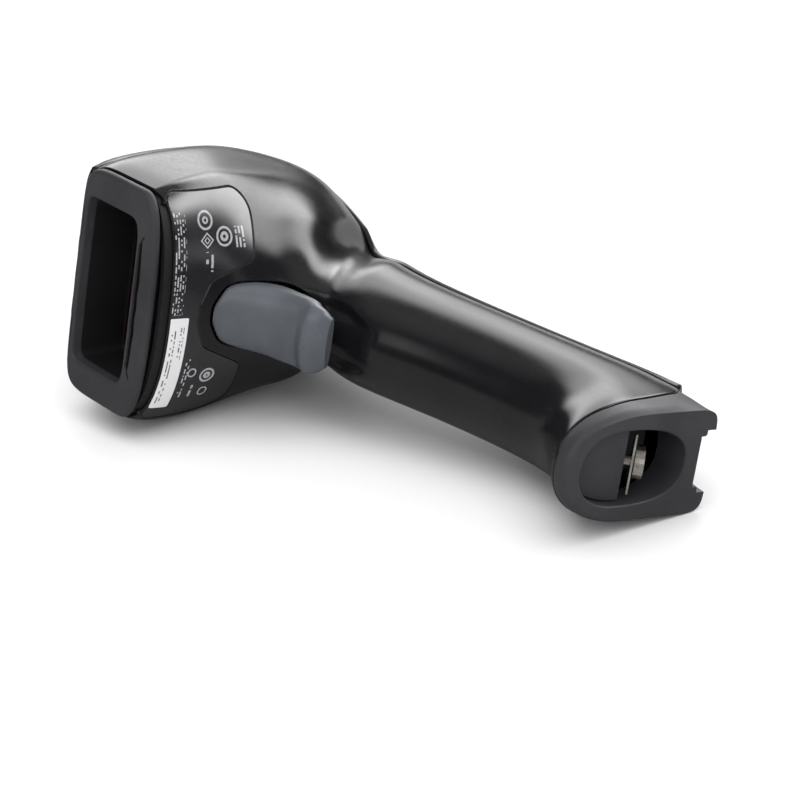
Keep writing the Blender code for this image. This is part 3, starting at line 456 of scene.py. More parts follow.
# ---- materials
class Nodes:
    """A small helper that adds nodes to a tree; a value is a number, a colour or a socket."""

    def __init__(self, tree):
        self.tree = tree

    def node(self, kind, inputs=(), **props):
        made = self.tree.nodes.new("ShaderNode" + kind)
        for key, value in props.items():
            setattr(made, key, value)
        for key, value in dict(inputs).items():
            self.set(made.inputs[key], value)
        return made

    def set(self, socket, value):
        if isinstance(value, bpy.types.NodeSocket):
            self.tree.links.new(value, socket)
        else:
            socket.default_value = value

    def remap(self, value, low, high, to_low, to_high, **props):
        made = self.node("MapRange", {"Value": value, "From Min": low, "From Max": high,
                                      "To Min": to_low, "To Max": to_high}, **props)
        return made.outputs["Result"]

    def math(self, operation, a, b=0.0):
        return self.node("Math", {0: a, 1: b}, operation=operation).outputs[0]

    def vector(self, operation, inputs, output):
        return self.node("VectorMath", inputs, operation=operation).outputs[output]


class Shader(Nodes):
    """Nodes for the material of an object."""

    def __init__(self, name):
        self.material = bpy.data.materials.new(name)
        self.material.use_nodes = True
        super().__init__(self.material.node_tree)
        self.principled = self.tree.nodes["Principled BSDF"]
        self.coords = self.node("TexCoord").outputs["Object"]

    def noise(self, scale, detail=3.0, roughness=0.5, distortion=0.0):
        made = self.node("TexNoise", {"Vector": self.coords, "Scale": scale, "Detail": detail,
                                      "Roughness": roughness, "Distortion": distortion})
        return made.outputs["Fac"]

    def mix(self, share, a, b):
        made = self.node("Mix", data_type="RGBA")
        for index, value in ((0, share), (6, a), (7, b)):
            if not isinstance(value, bpy.types.NodeSocket) and index > 0 and len(value) == 3:
                value = (*value, 1.0)
            self.set(made.inputs[index], value)
        return made.outputs[2]

    def edge(self, radius):
        """1 where the surface bends sharply within the radius, 0 where it is flat."""
        rounded = self.node("Bevel", {"Radius": radius}, samples=4).outputs["Normal"]
        flat = self.node("NewGeometry").outputs["Normal"]
        return self.remap(self.vector("DOT_PRODUCT", {0: rounded, 1: flat}, "Value"), 1.0, 0.8, 0.0, 1.0)

    def bump(self, height, strength, distance):
        inputs = {"Height": height, "Strength": strength, "Distance": distance}
        return self.node("Bump", inputs).outputs["Normal"]

    def finish(self, **values):
        for key, value in values.items():
            self.set(self.principled.inputs[key.replace("_", " ")], value)
        return self.material


def plastic(name, color, roughness, grain=4200.0, grain_depth=0.000012, variation=0.18,
            smudge=0.05, wear=0.25, specular=0.5):
    """Moulded plastic: fine spark-eroded grain, slight cloudiness, handling marks, worn edges."""
    s = Shader(name)
    cloud = s.remap(s.noise(55.0, 4.0), 0.35, 0.65, 1.0 - variation, 1.0 + variation)
    base = s.vector("SCALE", {0: color, "Scale": cloud}, 0)
    worn = s.math("MULTIPLY", s.edge(0.0005), s.remap(s.noise(420.0, 3.0), 0.45, 0.65, 0.0, wear))
    lighter = tuple(min(1.0, c * 2.2 + 0.05) for c in color)
    tint = s.mix(worn, base, lighter)
    handling = s.remap(s.noise(38.0, 5.0, 0.6, 0.6), 0.4, 0.7, -smudge, smudge)
    fine = s.remap(s.noise(900.0, 2.0), 0.3, 0.7, -0.03, 0.03)
    rough = s.math("ADD", s.math("ADD", handling, fine), roughness)
    normal = s.bump(s.noise(grain, 2.0, 0.6), 1.0, grain_depth)
    return s.finish(Base_Color=tint, Roughness=rough, Normal=normal, Specular_IOR_Level=specular)


def metal(name, color, roughness, grain=2600.0, tarnish=0.12):
    """Metal with fine brushing, tarnish and slightly uneven polish."""
    s = Shader(name)
    patch = s.remap(s.noise(260.0, 4.0, 0.6), 0.4, 0.65, 0.0, 1.0)
    dark = tuple(c * (1 - 3 * tarnish) for c in color)
    tint = s.mix(patch, color, dark)
    rough = s.remap(s.noise(700.0, 4.0), 0.3, 0.7, roughness - 0.06, roughness + 0.1)
    normal = s.bump(s.noise(grain, 3.0, 0.7), 1.0, 0.000006)
    return s.finish(Base_Color=tint, Roughness=rough, Metallic=1.0, Normal=normal)


def film(name, color, roughness):
    """Wrapping film: almost flat, with a faint ripple and dust."""
    s = Shader(name)
    dust = s.remap(s.noise(3000.0, 2.0), 0.68, 0.74, 0.0, 0.12)
    tint = s.mix(dust, color, (0.5, 0.5, 0.5))
    rough = s.remap(s.noise(90.0, 4.0, 0.6, 0.5), 0.3, 0.7, roughness - 0.05, roughness + 0.08)
    normal = s.bump(s.noise(320.0, 2.0), 1.0, 0.000004)
    return s.finish(Base_Color=tint, Roughness=rough, Normal=normal)


def printed_film(name, color, ink, roughness, *marks):
    """Glossy film with generic print at places given in scanner millimetres."""
    s = Shader(name)
    place = s.node("Attribute", attribute_name="place").outputs["Vector"]
    parts = s.node("SeparateXYZ", {"Vector": place}).outputs
    mask = generic_print(s, parts["X"], parts["Y"], *marks)
    dust = s.remap(s.noise(3000.0, 2.0), 0.68, 0.74, 0.0, 0.1)
    base = s.mix(dust, color, (0.4, 0.4, 0.4))
    worn = s.remap(s.noise(1500.0, 3.0), 0.35, 0.55, 0.7, 1.0)
    tint = s.mix(s.math("MULTIPLY", mask, worn), base, ink)
    rough = s.remap(s.noise(90.0, 4.0, 0.6, 0.5), 0.3, 0.7, roughness - 0.04, roughness + 0.06)
    normal = s.bump(s.noise(320.0, 2.0), 1.0, 0.000004)
    return s.finish(Base_Color=tint, Roughness=rough, Normal=normal, Specular_IOR_Level=1.0)


def within(s, value, low, high):
    """1 where a value lies between two bounds."""
    above = s.math("GREATER_THAN", value, low)
    return s.math("MULTIPLY", above, s.math("LESS_THAN", value, high))


def dashes(s, x, y, area, row_pitch, fill, dash):
    """Rows of short dashes along y inside the area (x low, x high, y low, y high)."""
    row = s.math("DIVIDE", x, row_pitch)
    ink_row = s.math("LESS_THAN", s.math("FRACT", row), 0.5)
    cell = s.node("CombineXYZ", {"X": s.math("FLOOR", row),
                                 "Y": s.math("FLOOR", s.math("DIVIDE", y, dash))}).outputs[0]
    random = s.node("TexWhiteNoise", {"Vector": cell}, noise_dimensions="2D").outputs["Value"]
    mask = s.math("MULTIPLY", ink_row, s.math("LESS_THAN", random, fill))
    x_low, x_high, y_low, y_high = area
    mask = s.math("MULTIPLY", mask, within(s, x, x_low, x_high))
    return s.math("MULTIPLY", mask, within(s, y, y_low, y_high))


def ring_mark(s, x, y, middle, radius, line, square=False):
    """A ring, or a diamond outline if square."""
    dx = s.math("ABSOLUTE", s.math("SUBTRACT", x, middle[0]))
    dy = s.math("ABSOLUTE", s.math("SUBTRACT", y, middle[1]))
    if square:
        distance = s.math("ADD", dx, dy)
    else:
        distance = s.math("SQRT", s.math("ADD", s.math("POWER", dx, 2.0), s.math("POWER", dy, 2.0)))
    off = s.math("ABSOLUTE", s.math("SUBTRACT", distance, radius))
    return s.math("LESS_THAN", off, line)


# Generic print: areas of dashes (x low, x high, y low, y high), row pitch, share inked, dash;
# then rings and a diamond by middle, radius, half line and, for the diamond, True
LABEL_DASHES = (((-11.2, -7.2, 0.4, 28.0), 0.82, 0.5, 0.56), ((-19.7, -16.5, 12.2, 17.6), 1.65, 0.6, 0.6),
                ((-30.0, -26.6, 18.5, 23.8), 1.1, 0.7, 0.5), ((-16.6, -14.4, -25.5, -13.0), 0.9, 0.6, 0.5),
                ((-20.0, -18.6, -25.6, -21.0), 1.5, 0.75, 0.6))
LABEL_RINGS = (((-17.6, 25.8), 2.2, 0.3), ((-17.6, 25.8), 0.7, 0.25), ((-17.8, 20.6), 1.9, 0.25, True),
               ((-17.8, 20.6), 0.8, 0.2, True), ((-23.4, 21.4), 2.3, 0.3), ((-23.4, 21.4), 0.9, 0.4),
               ((-22.8, -18.6), 2.0, 0.3), ((-22.8, -18.6), 0.7, 0.4), ((-17.6, -17.4), 1.2, 0.22),
               ((-23.4, -24.2), 1.3, 0.22))
STICKER_DASHES = (((-12.2, -10.6, -26.8, -14.5), 9.0, 0.55, 0.34), ((-9.9, -8.6, -26.8, -4.0), 1.0, 0.6, 0.5),
                  ((-12.4, -11.2, -12.8, -3.2), 0.9, 0.65, 0.5))


def generic_print(s, x, y, dash_areas, rings=()):
    """Mask of all the dashes and rings of a film."""
    marks = [dashes(s, x, y, *area) for area in dash_areas]
    marks += [ring_mark(s, x, y, *ring) for ring in rings]
    total = marks[0]
    for mark in marks[1:]:
        total = s.math("MAXIMUM", total, mark)
    return total


def glass(name, color, roughness, strength):
    """Coloured clear plastic or glass with faint haze."""
    s = Shader(name)
    haze = s.remap(s.noise(500.0, 3.0), 0.3, 0.7, roughness, roughness + 0.08)
    tint = s.mix(s.noise(120.0, 3.0), color, tuple(c * 0.7 for c in color))
    return s.finish(Base_Color=tint, Roughness=haze, Transmission_Weight=strength)


def circuit_board(name):
    """Solder mask over a faint pattern of copper tracks."""
    s = Shader(name)
    cells = s.node("TexVoronoi", {"Vector": s.coords, "Scale": 520.0},
                   distance="MANHATTAN", feature="DISTANCE_TO_EDGE").outputs["Distance"]
    tracks = s.remap(cells, 0.05, 0.1, 1.0, 0.0)
    tint = s.mix(tracks, (0.012, 0.11, 0.04), (0.05, 0.26, 0.09))
    rough = s.remap(s.noise(600.0, 3.0), 0.3, 0.7, 0.3, 0.45)
    normal = s.bump(tracks, 0.6, 0.00003)
    return s.finish(Base_Color=tint, Roughness=rough, Normal=normal)


MATERIALS = {
    "housing_black": plastic("housing_gloss", (0.0065, 0.0065, 0.0075), 0.22, grain=2600.0,
                             grain_depth=0.000004, smudge=0.04, wear=0.12),
    "bumper_grey": plastic("bumper_soft", (0.03, 0.03, 0.034), 0.5, grain=3200.0,
                           grain_depth=0.00002, smudge=0.06, wear=0.2, specular=0.4),
    "trigger_grey": plastic("trigger_satin", (0.075, 0.082, 0.094), 0.36, grain=2600.0,
                            grain_depth=0.000006, smudge=0.06, wear=0.3),
    "window_red": glass("window_filter", (0.03, 0.002, 0.004), 0.05, 0.15),
    "rubber_black": plastic("gasket_rubber", (0.016, 0.016, 0.016), 0.8, grain_depth=0.00003),
    "inner_plastic": plastic("inner_moulding", (0.03, 0.03, 0.032), 0.55),
    # Near-black: the neck's own colour, and also painted shade on the bumper's slot and tunnel faces
    "neck_black_and_painted_shade": plastic("neck_dark_and_painted_shade", (0.006, 0.006, 0.007), 0.55),
    "label_black": printed_film("label_film", (0.012, 0.012, 0.014), (0.42, 0.42, 0.44), 0.22,
                                LABEL_DASHES, LABEL_RINGS),
    "sticker_white": printed_film("sticker_film", (0.75, 0.75, 0.76), (0.04, 0.04, 0.045), 0.4,
                                  STICKER_DASHES),
    "steel": metal("plated_steel", (0.66, 0.62, 0.56), 0.26),
    "brass": metal("turned_brass", (0.72, 0.52, 0.24), 0.28),
    "aluminium": metal("cast_aluminium", (0.68, 0.69, 0.71), 0.38, grain=1600.0),
    "copper": metal("copper_winding", (0.72, 0.36, 0.20), 0.34, grain=5200.0),
    "mirror": metal("silvered_mirror", (0.9, 0.9, 0.92), 0.06, grain=300.0, tarnish=0.02),
    "board_green": circuit_board("circuit_board"),
    "chip_black": plastic("chip_epoxy", (0.018, 0.018, 0.019), 0.5, grain_depth=0.00002),
    "cell_wrap": film("cell_wrap", (0.04, 0.13, 0.36), 0.32),
    "clear_plastic": glass("clear_moulding", (0.8, 0.85, 0.85), 0.12, 0.7),
    "flex_amber": film("flex_polyimide", (0.45, 0.2, 0.04), 0.35),
}


# Nodes that keep their CAD shape, by the material they wear
CAD_DRESS = {
    "bumper_grey": ("battery_cap",),
    "rubber_black": ("window_gasket",),
    "window_red": ("scan_window",),
    "inner_plastic": ("trigger_bracket", "switch_plunger"),
    "steel": ("trigger_pin", "trigger_spring", *(f"board_screw_{n}" for n in (1, 2, 3, 4)),
              "cell_terminal", "screw_plate", "cap_screw"),
    "chip_black": ("trigger_switch", "charger_chip", "photo_detector", "decoder_chip", "beeper"),
    "board_green": ("switch_board", "detector_board", "main_board"),
    "aluminium": ("engine_chassis", "radio_module"),
    "brass": ("laser_module", "top_contact"),
    "clear_plastic": ("collimator_lens", "status_led", "status_light_pipe"),
    "mirror": ("fold_mirror", "scan_mirror", "collecting_mirror"),
    "copper": ("mirror_coil",),
    "flex_amber": ("flex_cable",),
    "cell_wrap": ("battery_cell",),
}


def dress_cad_nodes():
    """Give each CAD node that stays visible its procedural material."""
    for finish, names in CAD_DRESS.items():
        for name in names:
            mesh = frame["nodes"][name].data
            mesh.materials.clear()
            mesh.materials.append(MATERIALS[finish])


# ---- trigger
# x and z of the finger face, half width, depth behind the face
TRIGGER_FACE = (
    (-20.6, -25.4, 3.6, 2.6),
    (-22.0, -27.2, 7.2, 5.6),
    (-25.6, -30.2, 9.1, 8.8),
    (-29.6, -34.8, 9.8, 10.8),
    (-32.3, -40.0, 10.0, 9.2),
    (-34.2, -45.0, 10.0, 7.4),
    (-33.6, -48.6, 9.8, 7.4),
    (-35.4, -51.8, 9.0, 5.6),
    (-38.6, -53.4, 7.0, 3.0),
)
TIP_INWARD = (-0.98, 0.2)   # x and z of the way into the trigger near its tip
TIP_SHARE = 0.75            # how much this way counts there
TIP_START = (40.0, 49.0)    # depths below the axis over which it comes in
TRIGGER_GAP = 0.45
TRIGGER_TRAVEL = math.radians(6.0)
TRIGGER_OPENING_END = (41.5, 45.5)      # depth below the axis over which the opening closes
TRIGGER_CROWN = 0.54        # height of the finger face's crown
TRIGGER_FACE_STEP = 0.3     # how far the face stands back from its outline
TRIGGER_ROUND = (2.6, 3.4)  # powers of the section in front and behind
TRIGGER_CLEAR = 4.0         # added to the distance below the opening, so that nothing is cut there
TRIGGER_REACH = 6.0         # farther from the trigger's skin than this nothing lies inside it
trigger_row = cubic_spline(TRIGGER_FACE)


def trigger_rings(count=70, around=72):
    """Rounded cross-sections of the trigger, front end to tip."""
    last = len(TRIGGER_FACE) - 1
    u = (1 - np.cos(np.linspace(0, math.pi, count))) / 2 * last
    rows = trigger_row(u)
    along = trigger_row(np.minimum(u + 0.03, last))[:, :2] - trigger_row(np.maximum(u - 0.03, 0))[:, :2]
    along /= np.linalg.norm(along, axis=1, keepdims=True)
    inward = np.stack([along[:, 1], -along[:, 0]], 1)
    inward[inward[:, 0] > 0] *= -1
    steady = ramp(-rows[:, 1], *TIP_START)[:, None] * TIP_SHARE
    inward = inward * (1 - steady) + np.array(TIP_INWARD) * steady
    inward /= np.linalg.norm(inward, axis=1, keepdims=True)
    theta = 2 * math.pi * np.arange(around) / around
    in_front = np.cos(theta) > 0
    power = 2 / np.where(in_front, *TRIGGER_ROUND)
    rings = []
    for row, way in zip(rows, inward):
        x, z, half_width, depth = row
        y = half_width * np.sign(np.sin(theta)) * np.abs(np.sin(theta)) ** power
        d = depth / 2 * (1 - np.sign(np.cos(theta)) * np.abs(np.cos(theta)) ** power)
        d += in_front * (TRIGGER_FACE_STEP - TRIGGER_CROWN * (1 - (y / half_width) ** 2))
        rings.append(np.stack([x + way[0] * d, y, z + way[1] * d], 1))
    return np.array(rings)


def build_trigger():
    """The finger trigger with its soft crown and rolled tip."""
    rings = trigger_rings()
    bm = grid_bmesh(rings, wrap=True)
    bm.verts.ensure_lookup_table()
    count = rings.shape[1]
    total = len(bm.verts)
    for start in (0, total - count):
        center = bm.verts.new(rings.reshape(-1, 3)[start:start + count].mean(0))
        bm.verts.ensure_lookup_table()
        for j in range(count):
            bm.faces.new((bm.verts[start + j], bm.verts[start + (j + 1) % count], center))
    bmesh.ops.recalc_face_normals(bm, faces=bm.faces)
    return bm


trigger_bm = build_trigger()
TRIGGER_TREE = BVHTree.FromBMesh(trigger_bm)


def distance_to_trigger(points):
    """Signed distance to the resting trigger's surface, negative inside it."""
    values = []
    for point in points:
        near, normal, _, distance = TRIGGER_TREE.find_nearest(Vector(point), FAR)
        if near is None:
            values.append(FAR)
            continue
        inside = distance < TRIGGER_REACH and (Vector(point) - near).dot(normal) < 0
        values.append(-distance if inside else distance)
    return np.array(values)


def trigger_distance(points):
    """Distance to the room the trigger needs at rest and pulled, in the opening above its tip."""
    pin = SCANNER.inverted() @ Vector(JOINTS["trigger_pull"]["pos_m"])
    undo = Matrix.Translation(pin) @ Matrix.Rotation(-TRIGGER_TRAVEL, 4, "Y") @ Matrix.Translation(-pin)
    released = [undo @ Vector(point) for point in points]
    values = np.minimum(distance_to_trigger(points), distance_to_trigger(released))
    below_tip = ramp(-np.asarray(points)[:, 2], *TRIGGER_OPENING_END)
    return np.where(below_tip > 0.5, np.abs(values) + TRIGGER_CLEAR, values + TRIGGER_CLEAR * below_tip)


# ---- housings
def front_columns(row):
    """Angles across the front housing, from the left seam underneath to the right seam."""
    side = even_angles(row, SEAM_ANGLE, 90, 15, EDGE_ROUND + SEAM_HALF_GAP, 0)
    under = even_angles(row, 90, 180, 30)[1:]
    left = np.concatenate([side, under])
    return np.concatenate([left, 360 - left[-2::-1]])


def back_columns(row):
    """Angles across the back housing, from the left seam over the top to the right seam."""
    left = even_angles(row, 0, SEAM_ANGLE, 18, 0, EDGE_ROUND + SEAM_HALF_GAP)
    return np.concatenate([left[::-1], -left[1:]])


def setback(angles):
    """How far the skin's front edge stands back from the mouth, in stations."""
    return NECK_SETBACK * ramp(np.cos(np.radians(angles - 180)), 0.0, 0.75)


def foot_seam(angles):
    """Station offset of the seam between shells and collar, around the handle."""
    turned = np.asarray(angles) % 360
    return np.interp(np.minimum(turned, 360 - turned), *np.array(FOOT_SEAM).T)


def body_sheet(first, last, columns):
    """A grid over the body's skin; columns gives the angles for one section row."""
    stations = []
    step = 0.05
    u = first
    while u < last:
        stations.append(u)
        near, far = body_row(u), body_row(u + step)
        moved = max(np.linalg.norm(far[:2] - near[:2]), np.linalg.norm(far[2:4] - near[2:4]))
        u += GRID_STEP * step / moved
    stations.append(last)
    us, angles = [], []
    for value in stations:
        across = columns(body_row(value))
        shift = setback(across) * (1 - ramp(value, first, 3.0))
        if last == SHELL_SPAN[1]:
            shift = shift + foot_seam(across) * ramp(value, last - 2.5, last)
        us.append(value + shift)
        angles.append(across)
    us, angles = np.array(us), np.array(angles)
    bm = grid_bmesh(surface(us, angles))
    u_layer = bm.verts.layers.float.new("u")
    a_layer = bm.verts.layers.float.new("angle")
    set_layer(bm, u_layer, us.ravel())
    set_layer(bm, a_layer, angles.ravel())
    return bm, u_layer, a_layer


def resurface(bm, u_layer, a_layer):
    """Put every vertex back on the smooth skin at its own station and angle."""
    points = surface(vertex_values(bm, u_layer), vertex_values(bm, a_layer))
    for vert, point in zip(bm.verts, points):
        vert.co = point


def refine_near(bm, layer, reach):
    """Split the faces that lie near a field's zero line."""
    edges = set()
    for face in bm.faces:
        if min(abs(v[layer]) for v in face.verts) < reach:
            edges.update(face.edges)
    bmesh.ops.subdivide_edges(bm, edges=list(edges), cuts=1, use_grid_fill=True)


def cut_along(sheet, layer, distance, reach, levels=(0.0,)):
    """Split a sheet along contours of distance(points), on a grid made finer within reach."""
    bm, u_layer, a_layer = sheet
    set_layer(bm, layer, distance(positions(bm)))
    refine_near(bm, layer, reach)
    resurface(bm, u_layer, a_layer)
    set_layer(bm, layer, distance(positions(bm)))
    for level in levels:
        cut_contour(bm, layer, level)
    resurface(bm, u_layer, a_layer)


def underside_distance(outline, points):
    """Signed distance to an outline on the underside, large for points elsewhere."""
    return np.where(points[:, 2] > UNDERSIDE_TOP, FAR, outline_distance(outline, points[:, :2]))


def lens_distance(points):
    """Signed distance to the edge of the status light's hole in the head's top."""
    middle = np.array((STATUS_LIGHT_AT[0], 0.0))
    flat = np.linalg.norm(points[:, :2] - middle, axis=1) - STATUS_LIGHT_HOLE - EDGE_ROUND
    return np.where(points[:, 2] > STATUS_LIGHT_AT[1] / 2, flat, FAR)


LABEL_SHAPE = rounded_outline(LABEL_OUTLINE + tuple((x, -y, r) for x, y, r in reversed(LABEL_OUTLINE)))


def scoop_depth(points):
    """Depth of the finger scoop in the handle's front, just below the trigger's tip."""
    along = (SCOOP_TOP_Z - points[:, 2]) / SCOOP_LENGTH
    fade = np.clip(1 - np.clip(along, 0, 1) ** 2, 0, 1) ** 1.5
    width = SCOOP_HALF_WIDTH * (1 - 0.3 * np.clip(along, 0, 1))
    across = 1 - ramp(np.abs(points[:, 1]), width - SCOOP_EDGE, width)
    start = ramp(-points[:, 2], *SCOOP_START[0]) * ramp(points[:, 0], *SCOOP_START[1])
    return SCOOP_DEPTH * fade * across * start


def sink(sheet, depths):
    """Move a sheet's vertices below the skin, and keep the skin's exact normals where it lies
    least deep.
    """
    bm, u_layer, a_layer = sheet
    normals = surface_normal(vertex_values(bm, u_layer), vertex_values(bm, a_layer))
    skin = bm.verts.layers.float_vector.new("skin")
    least = depths.min()
    for vert, normal, depth in zip(bm.verts, normals, depths):
        vert.co -= Vector(normal) * depth
        if depth == least:
            vert[skin] = Vector(normal)


def build_front_housing():
    """Front housing with label recess, trigger opening and the finger scoop below it."""
    sheet = body_sheet(*SHELL_SPAN, front_columns)
    bm = sheet[0]
    recess = bm.verts.layers.float.new("recess")
    opening = bm.verts.layers.float.new("opening")
    low, high = LABEL_EDGE
    levels = [high + (low - high) * k / 3 for k in range(4)]
    cut_along(sheet, recess, lambda points: underside_distance(LABEL_SHAPE, points), 1.6, levels)
    rim = TRIGGER_GAP + EDGE_ROUND
    cut_along(sheet, opening, trigger_distance, 2.0, [rim])
    delete_inside(bm, opening, rim)

    drop = LABEL_RECESS * (1 - ramp(vertex_values(bm, recess), low, high))
    sink(sheet, drop + scoop_depth(positions(bm)))
    thicken(bm, WALL, EDGE_ROUND)
    to_object("front_housing_shell", bm, MATERIALS["housing_black"], "housing",
              ["front_housing"])


def build_back_housing():
    """Back housing over the head's top and down the back of the grip."""
    sheet = body_sheet(*SHELL_SPAN, back_columns)
    bm = sheet[0]
    lens = bm.verts.layers.float.new("lens")
    cut_along(sheet, lens, lens_distance, 1.5)
    delete_inside(bm, lens)
    sink(sheet, np.zeros(len(bm.verts)))
    thicken(bm, WALL, EDGE_ROUND)
    to_object("back_housing_shell", bm, MATERIALS["housing_black"], "housing",
              ["back_housing"])


def skin_patch(name, outline, depth, thickness, finish, node):
    """A thin film that follows the underside inside an outline, depth below the skin."""
    sheet = body_sheet(SHELL_SPAN[0], LABEL_SPAN, front_columns)
    bm = sheet[0]
    field = bm.verts.layers.float.new("field")
    cut_along(sheet, field, lambda points: -underside_distance(outline, points), 1.6)
    delete_inside(bm, field)
    place = bm.verts.layers.float_vector.new("place")
    for vert in bm.verts:
        vert[place] = vert.co
    sink(sheet, np.full(len(bm.verts), depth))
    thicken(bm, thickness, FILM_EDGE, rim_steps=2)
    to_object(name, bm, MATERIALS[finish], "housing", [node])


def build_label():
    """Rating label in its recess, and the white serial strip on it."""
    along = np.roll(LABEL_SHAPE, -1, 0) - np.roll(LABEL_SHAPE, 1, 0)
    inward = np.stack([-along[:, 1], along[:, 0]], 1) / np.linalg.norm(along, axis=1, keepdims=True)
    label_depth = LABEL_RECESS - FILM_GAP - LABEL_FILM
    skin_patch("rating_label_film", LABEL_SHAPE + inward * LABEL_GAP, label_depth, LABEL_FILM,
               "label_black", "rating_label")
    (x0, y0), (x1, y1) = STICKER_CORNERS
    strip = rounded_outline([(x, y, STICKER_CORNER) for x, y in ((x0, y0), (x1, y0), (x1, y1), (x0, y1))])
    skin_patch("serial_sticker_film", strip, label_depth - FILM_GAP - STICKER_FILM, STICKER_FILM,
               "sticker_white", "serial_sticker")


# ---- nose bumper
def ring_angles(row, count):
    """Angles of a whole cross-section, evenly spaced by length of arc."""
    half = even_angles(row, 0, 180, count // 2)
    return np.concatenate([half, 360 - half[-2:0:-1]])


def even_ring(row, count, inset=0.0):
    """Points of a whole cross-section, evenly spaced by length of arc."""
    row = np.array(row, float)
    return section_point(np.repeat(row[None], count, 0), ring_angles(row, count), inset)


def ring_normals(ring):
    """Outward directions of a ring, at right angles to it in its own plane."""
    along = np.roll(ring, -1, 0) - np.roll(ring, 1, 0)
    plane = np.cross(ring[0] - ring.mean(0), ring[len(ring) // 4] - ring.mean(0))
    plane /= np.linalg.norm(plane)
    out = np.cross(along, plane)
    out /= np.linalg.norm(out, axis=1, keepdims=True)
    if (out * (ring - ring.mean(0))).sum() < 0:
        out = -out
    return out


def round_edge(ring, across, down, radius, steps, start=0):
    """Rings over a rounded edge, from radius across the face to radius down the wall."""
    turns = [math.pi / 2 * k / steps for k in range(start, steps + 1)]
    return [ring + across * radius * (1 - math.sin(t)) + down * radius * (1 - math.cos(t)) for t in turns]


def ring_loft(rings):
    """A closed tube of rings whose last ring joins the first."""
    bm = grid_bmesh(np.array(rings), wrap=True)
    bm.verts.ensure_lookup_table()
    count = len(rings[0])
    first, last = bm.verts[:count], bm.verts[-count:]
    for j in range(count):
        bm.faces.new((last[j - 1], last[j], first[j], first[j - 1]))
    bmesh.ops.recalc_face_normals(bm, faces=bm.faces)
    return bm


def lip_rings(outer_edge, inner_edge, lip_size, slot):
    """Rings across the bumper's front face, gathered around the rib and slot of the lower lip."""
    _, slot_half_width, slot_depth = LIP_SLOT
    rib_width, rib_height = LIP_RIB
    reach = np.linalg.norm(outer_edge - inner_edge, axis=1)
    near = rib_width - lip_size
    far = near + 2 * slot_half_width
    # distance from the opening's edge, share of the rib's height and of the slot's depth
    profile = ((6.0, 0, 0), (4.6, 0, 0), (far + 0.3, 0, 0), (far + 0.06, 0, 0.03), (far, 0, 0.3),
               (far - 0.08, 0, 1.0), (near + 0.08, 0, 1.0), (near, 0.7, 0.2), (near - 0.06, 1, 0),
               (near - 0.35, 1, 0), (0.35, 1, 0), (0.1, 0.3, 0))
    rings = []
    for k, (distance, rib, drop) in enumerate(profile):
        even = 0.94 - 0.9 * k / (len(profile) - 1)
        exact = np.clip(distance / reach, 0.02, 0.97)
        share = (slot * exact + (1 - slot) * even)[:, None]
        ring = outer_edge * share + inner_edge * (1 - share)
        ring[:, 0] += slot * (rib * rib_height - drop * slot_depth)
        rings.append(ring)
    return rings


def build_bumper():
    """Soft bumper round the mouth, with its tunnel and the slot in its lower lip; the slot's inside and the
    tunnel are painted near-black as shade.
    """
    count = 240
    outer = even_ring(BEZEL_OUTLINE, count)
    opening = even_ring(OPENING_OUTLINE, count)
    out, opening_out = ring_normals(outer), ring_normals(opening)
    back = np.array((-1.0, 0.0, 0.0))
    room = np.linalg.norm(outer - opening, axis=1, keepdims=True)
    edge = np.minimum(BEZEL_EDGE, 0.45 * room)
    lip = np.minimum(LIP_RADIUS, 0.35 * room)
    side_back = outer + back * (BEZEL_DEPTH - 0.1)
    rings = [side_back - out * BEZEL_UNDERCUT, side_back - out * 0.6,
             side_back - out * 0.15 - back * 0.15, side_back - back * 0.5]
    rings += round_edge(outer, -out, back, edge, 6)[::-1]
    slot_start = len(rings) - 1
    lower = opening[:, 2] < opening[:, 2].min() + 4.0
    slot = (1 - ramp(np.abs(opening[:, 1]), LIP_SLOT[0] - SLOT_END, LIP_SLOT[0])) * lower
    rings += lip_rings(rings[-1], opening + opening_out * lip, lip.max(), slot)
    rings += round_edge(opening, opening_out, back, lip, 4)
    tunnel_end = even_ring(OPENING_OUTLINE, count, SPIGOT_WALL)
    tunnel_end[:, 0] = SPIGOT_END
    front = rings[-1]
    tunnel_start = len(rings)
    for share in (0.15, 0.5, 1.0):
        rings.append(front * (1 - share) + tunnel_end * share)
    rings.append(tunnel_end + ring_normals(tunnel_end) * 1.5)
    bm = ring_loft(rings)
    bm.verts.ensure_lookup_table()
    # Faces inside the lip's slot and all down the tunnel take the near-black neck material: painted shade
    # where the bumper's grey lies in shadow.
    first_slot_ring = slot_start + 4
    for face in bm.faces:
        numbers = [v.index for v in face.verts]
        ring_number, column = min(numbers) // count, min(n % count for n in numbers)
        in_slot = first_slot_ring <= ring_number < first_slot_ring + 4 and slot[column] > 0.5
        if in_slot or ring_number >= tunnel_start:
            face.material_index = 1
    bumper = to_object("nose_bumper_body", bm, MATERIALS["bumper_grey"], "housing",
                       ["nose_bumper"])
    bumper.data.materials.append(MATERIALS["neck_black_and_painted_shade"])


def build_neck():
    """Dark neck between the bumper's lip and the shells' front edge."""
    count = 200
    front, rear, rear_station = NECK_SPAN
    rings = []
    for x_back, inset in NECK_RINGS:
        share = min((x_back - front) / (rear - front), 1.0)
        rings.append(even_ring(body_row(share * rear_station), count, inset))
    bm = ring_loft(rings)
    to_object("nose_neck", bm, MATERIALS["neck_black_and_painted_shade"], "housing")


# ---- foot
def battery_axis():
    """Unit vector along the battery, pointing out of the foot."""
    lean = math.radians(BATTERY_LEAN)
    return np.array((math.sin(lean), 0.0, -math.cos(lean)))


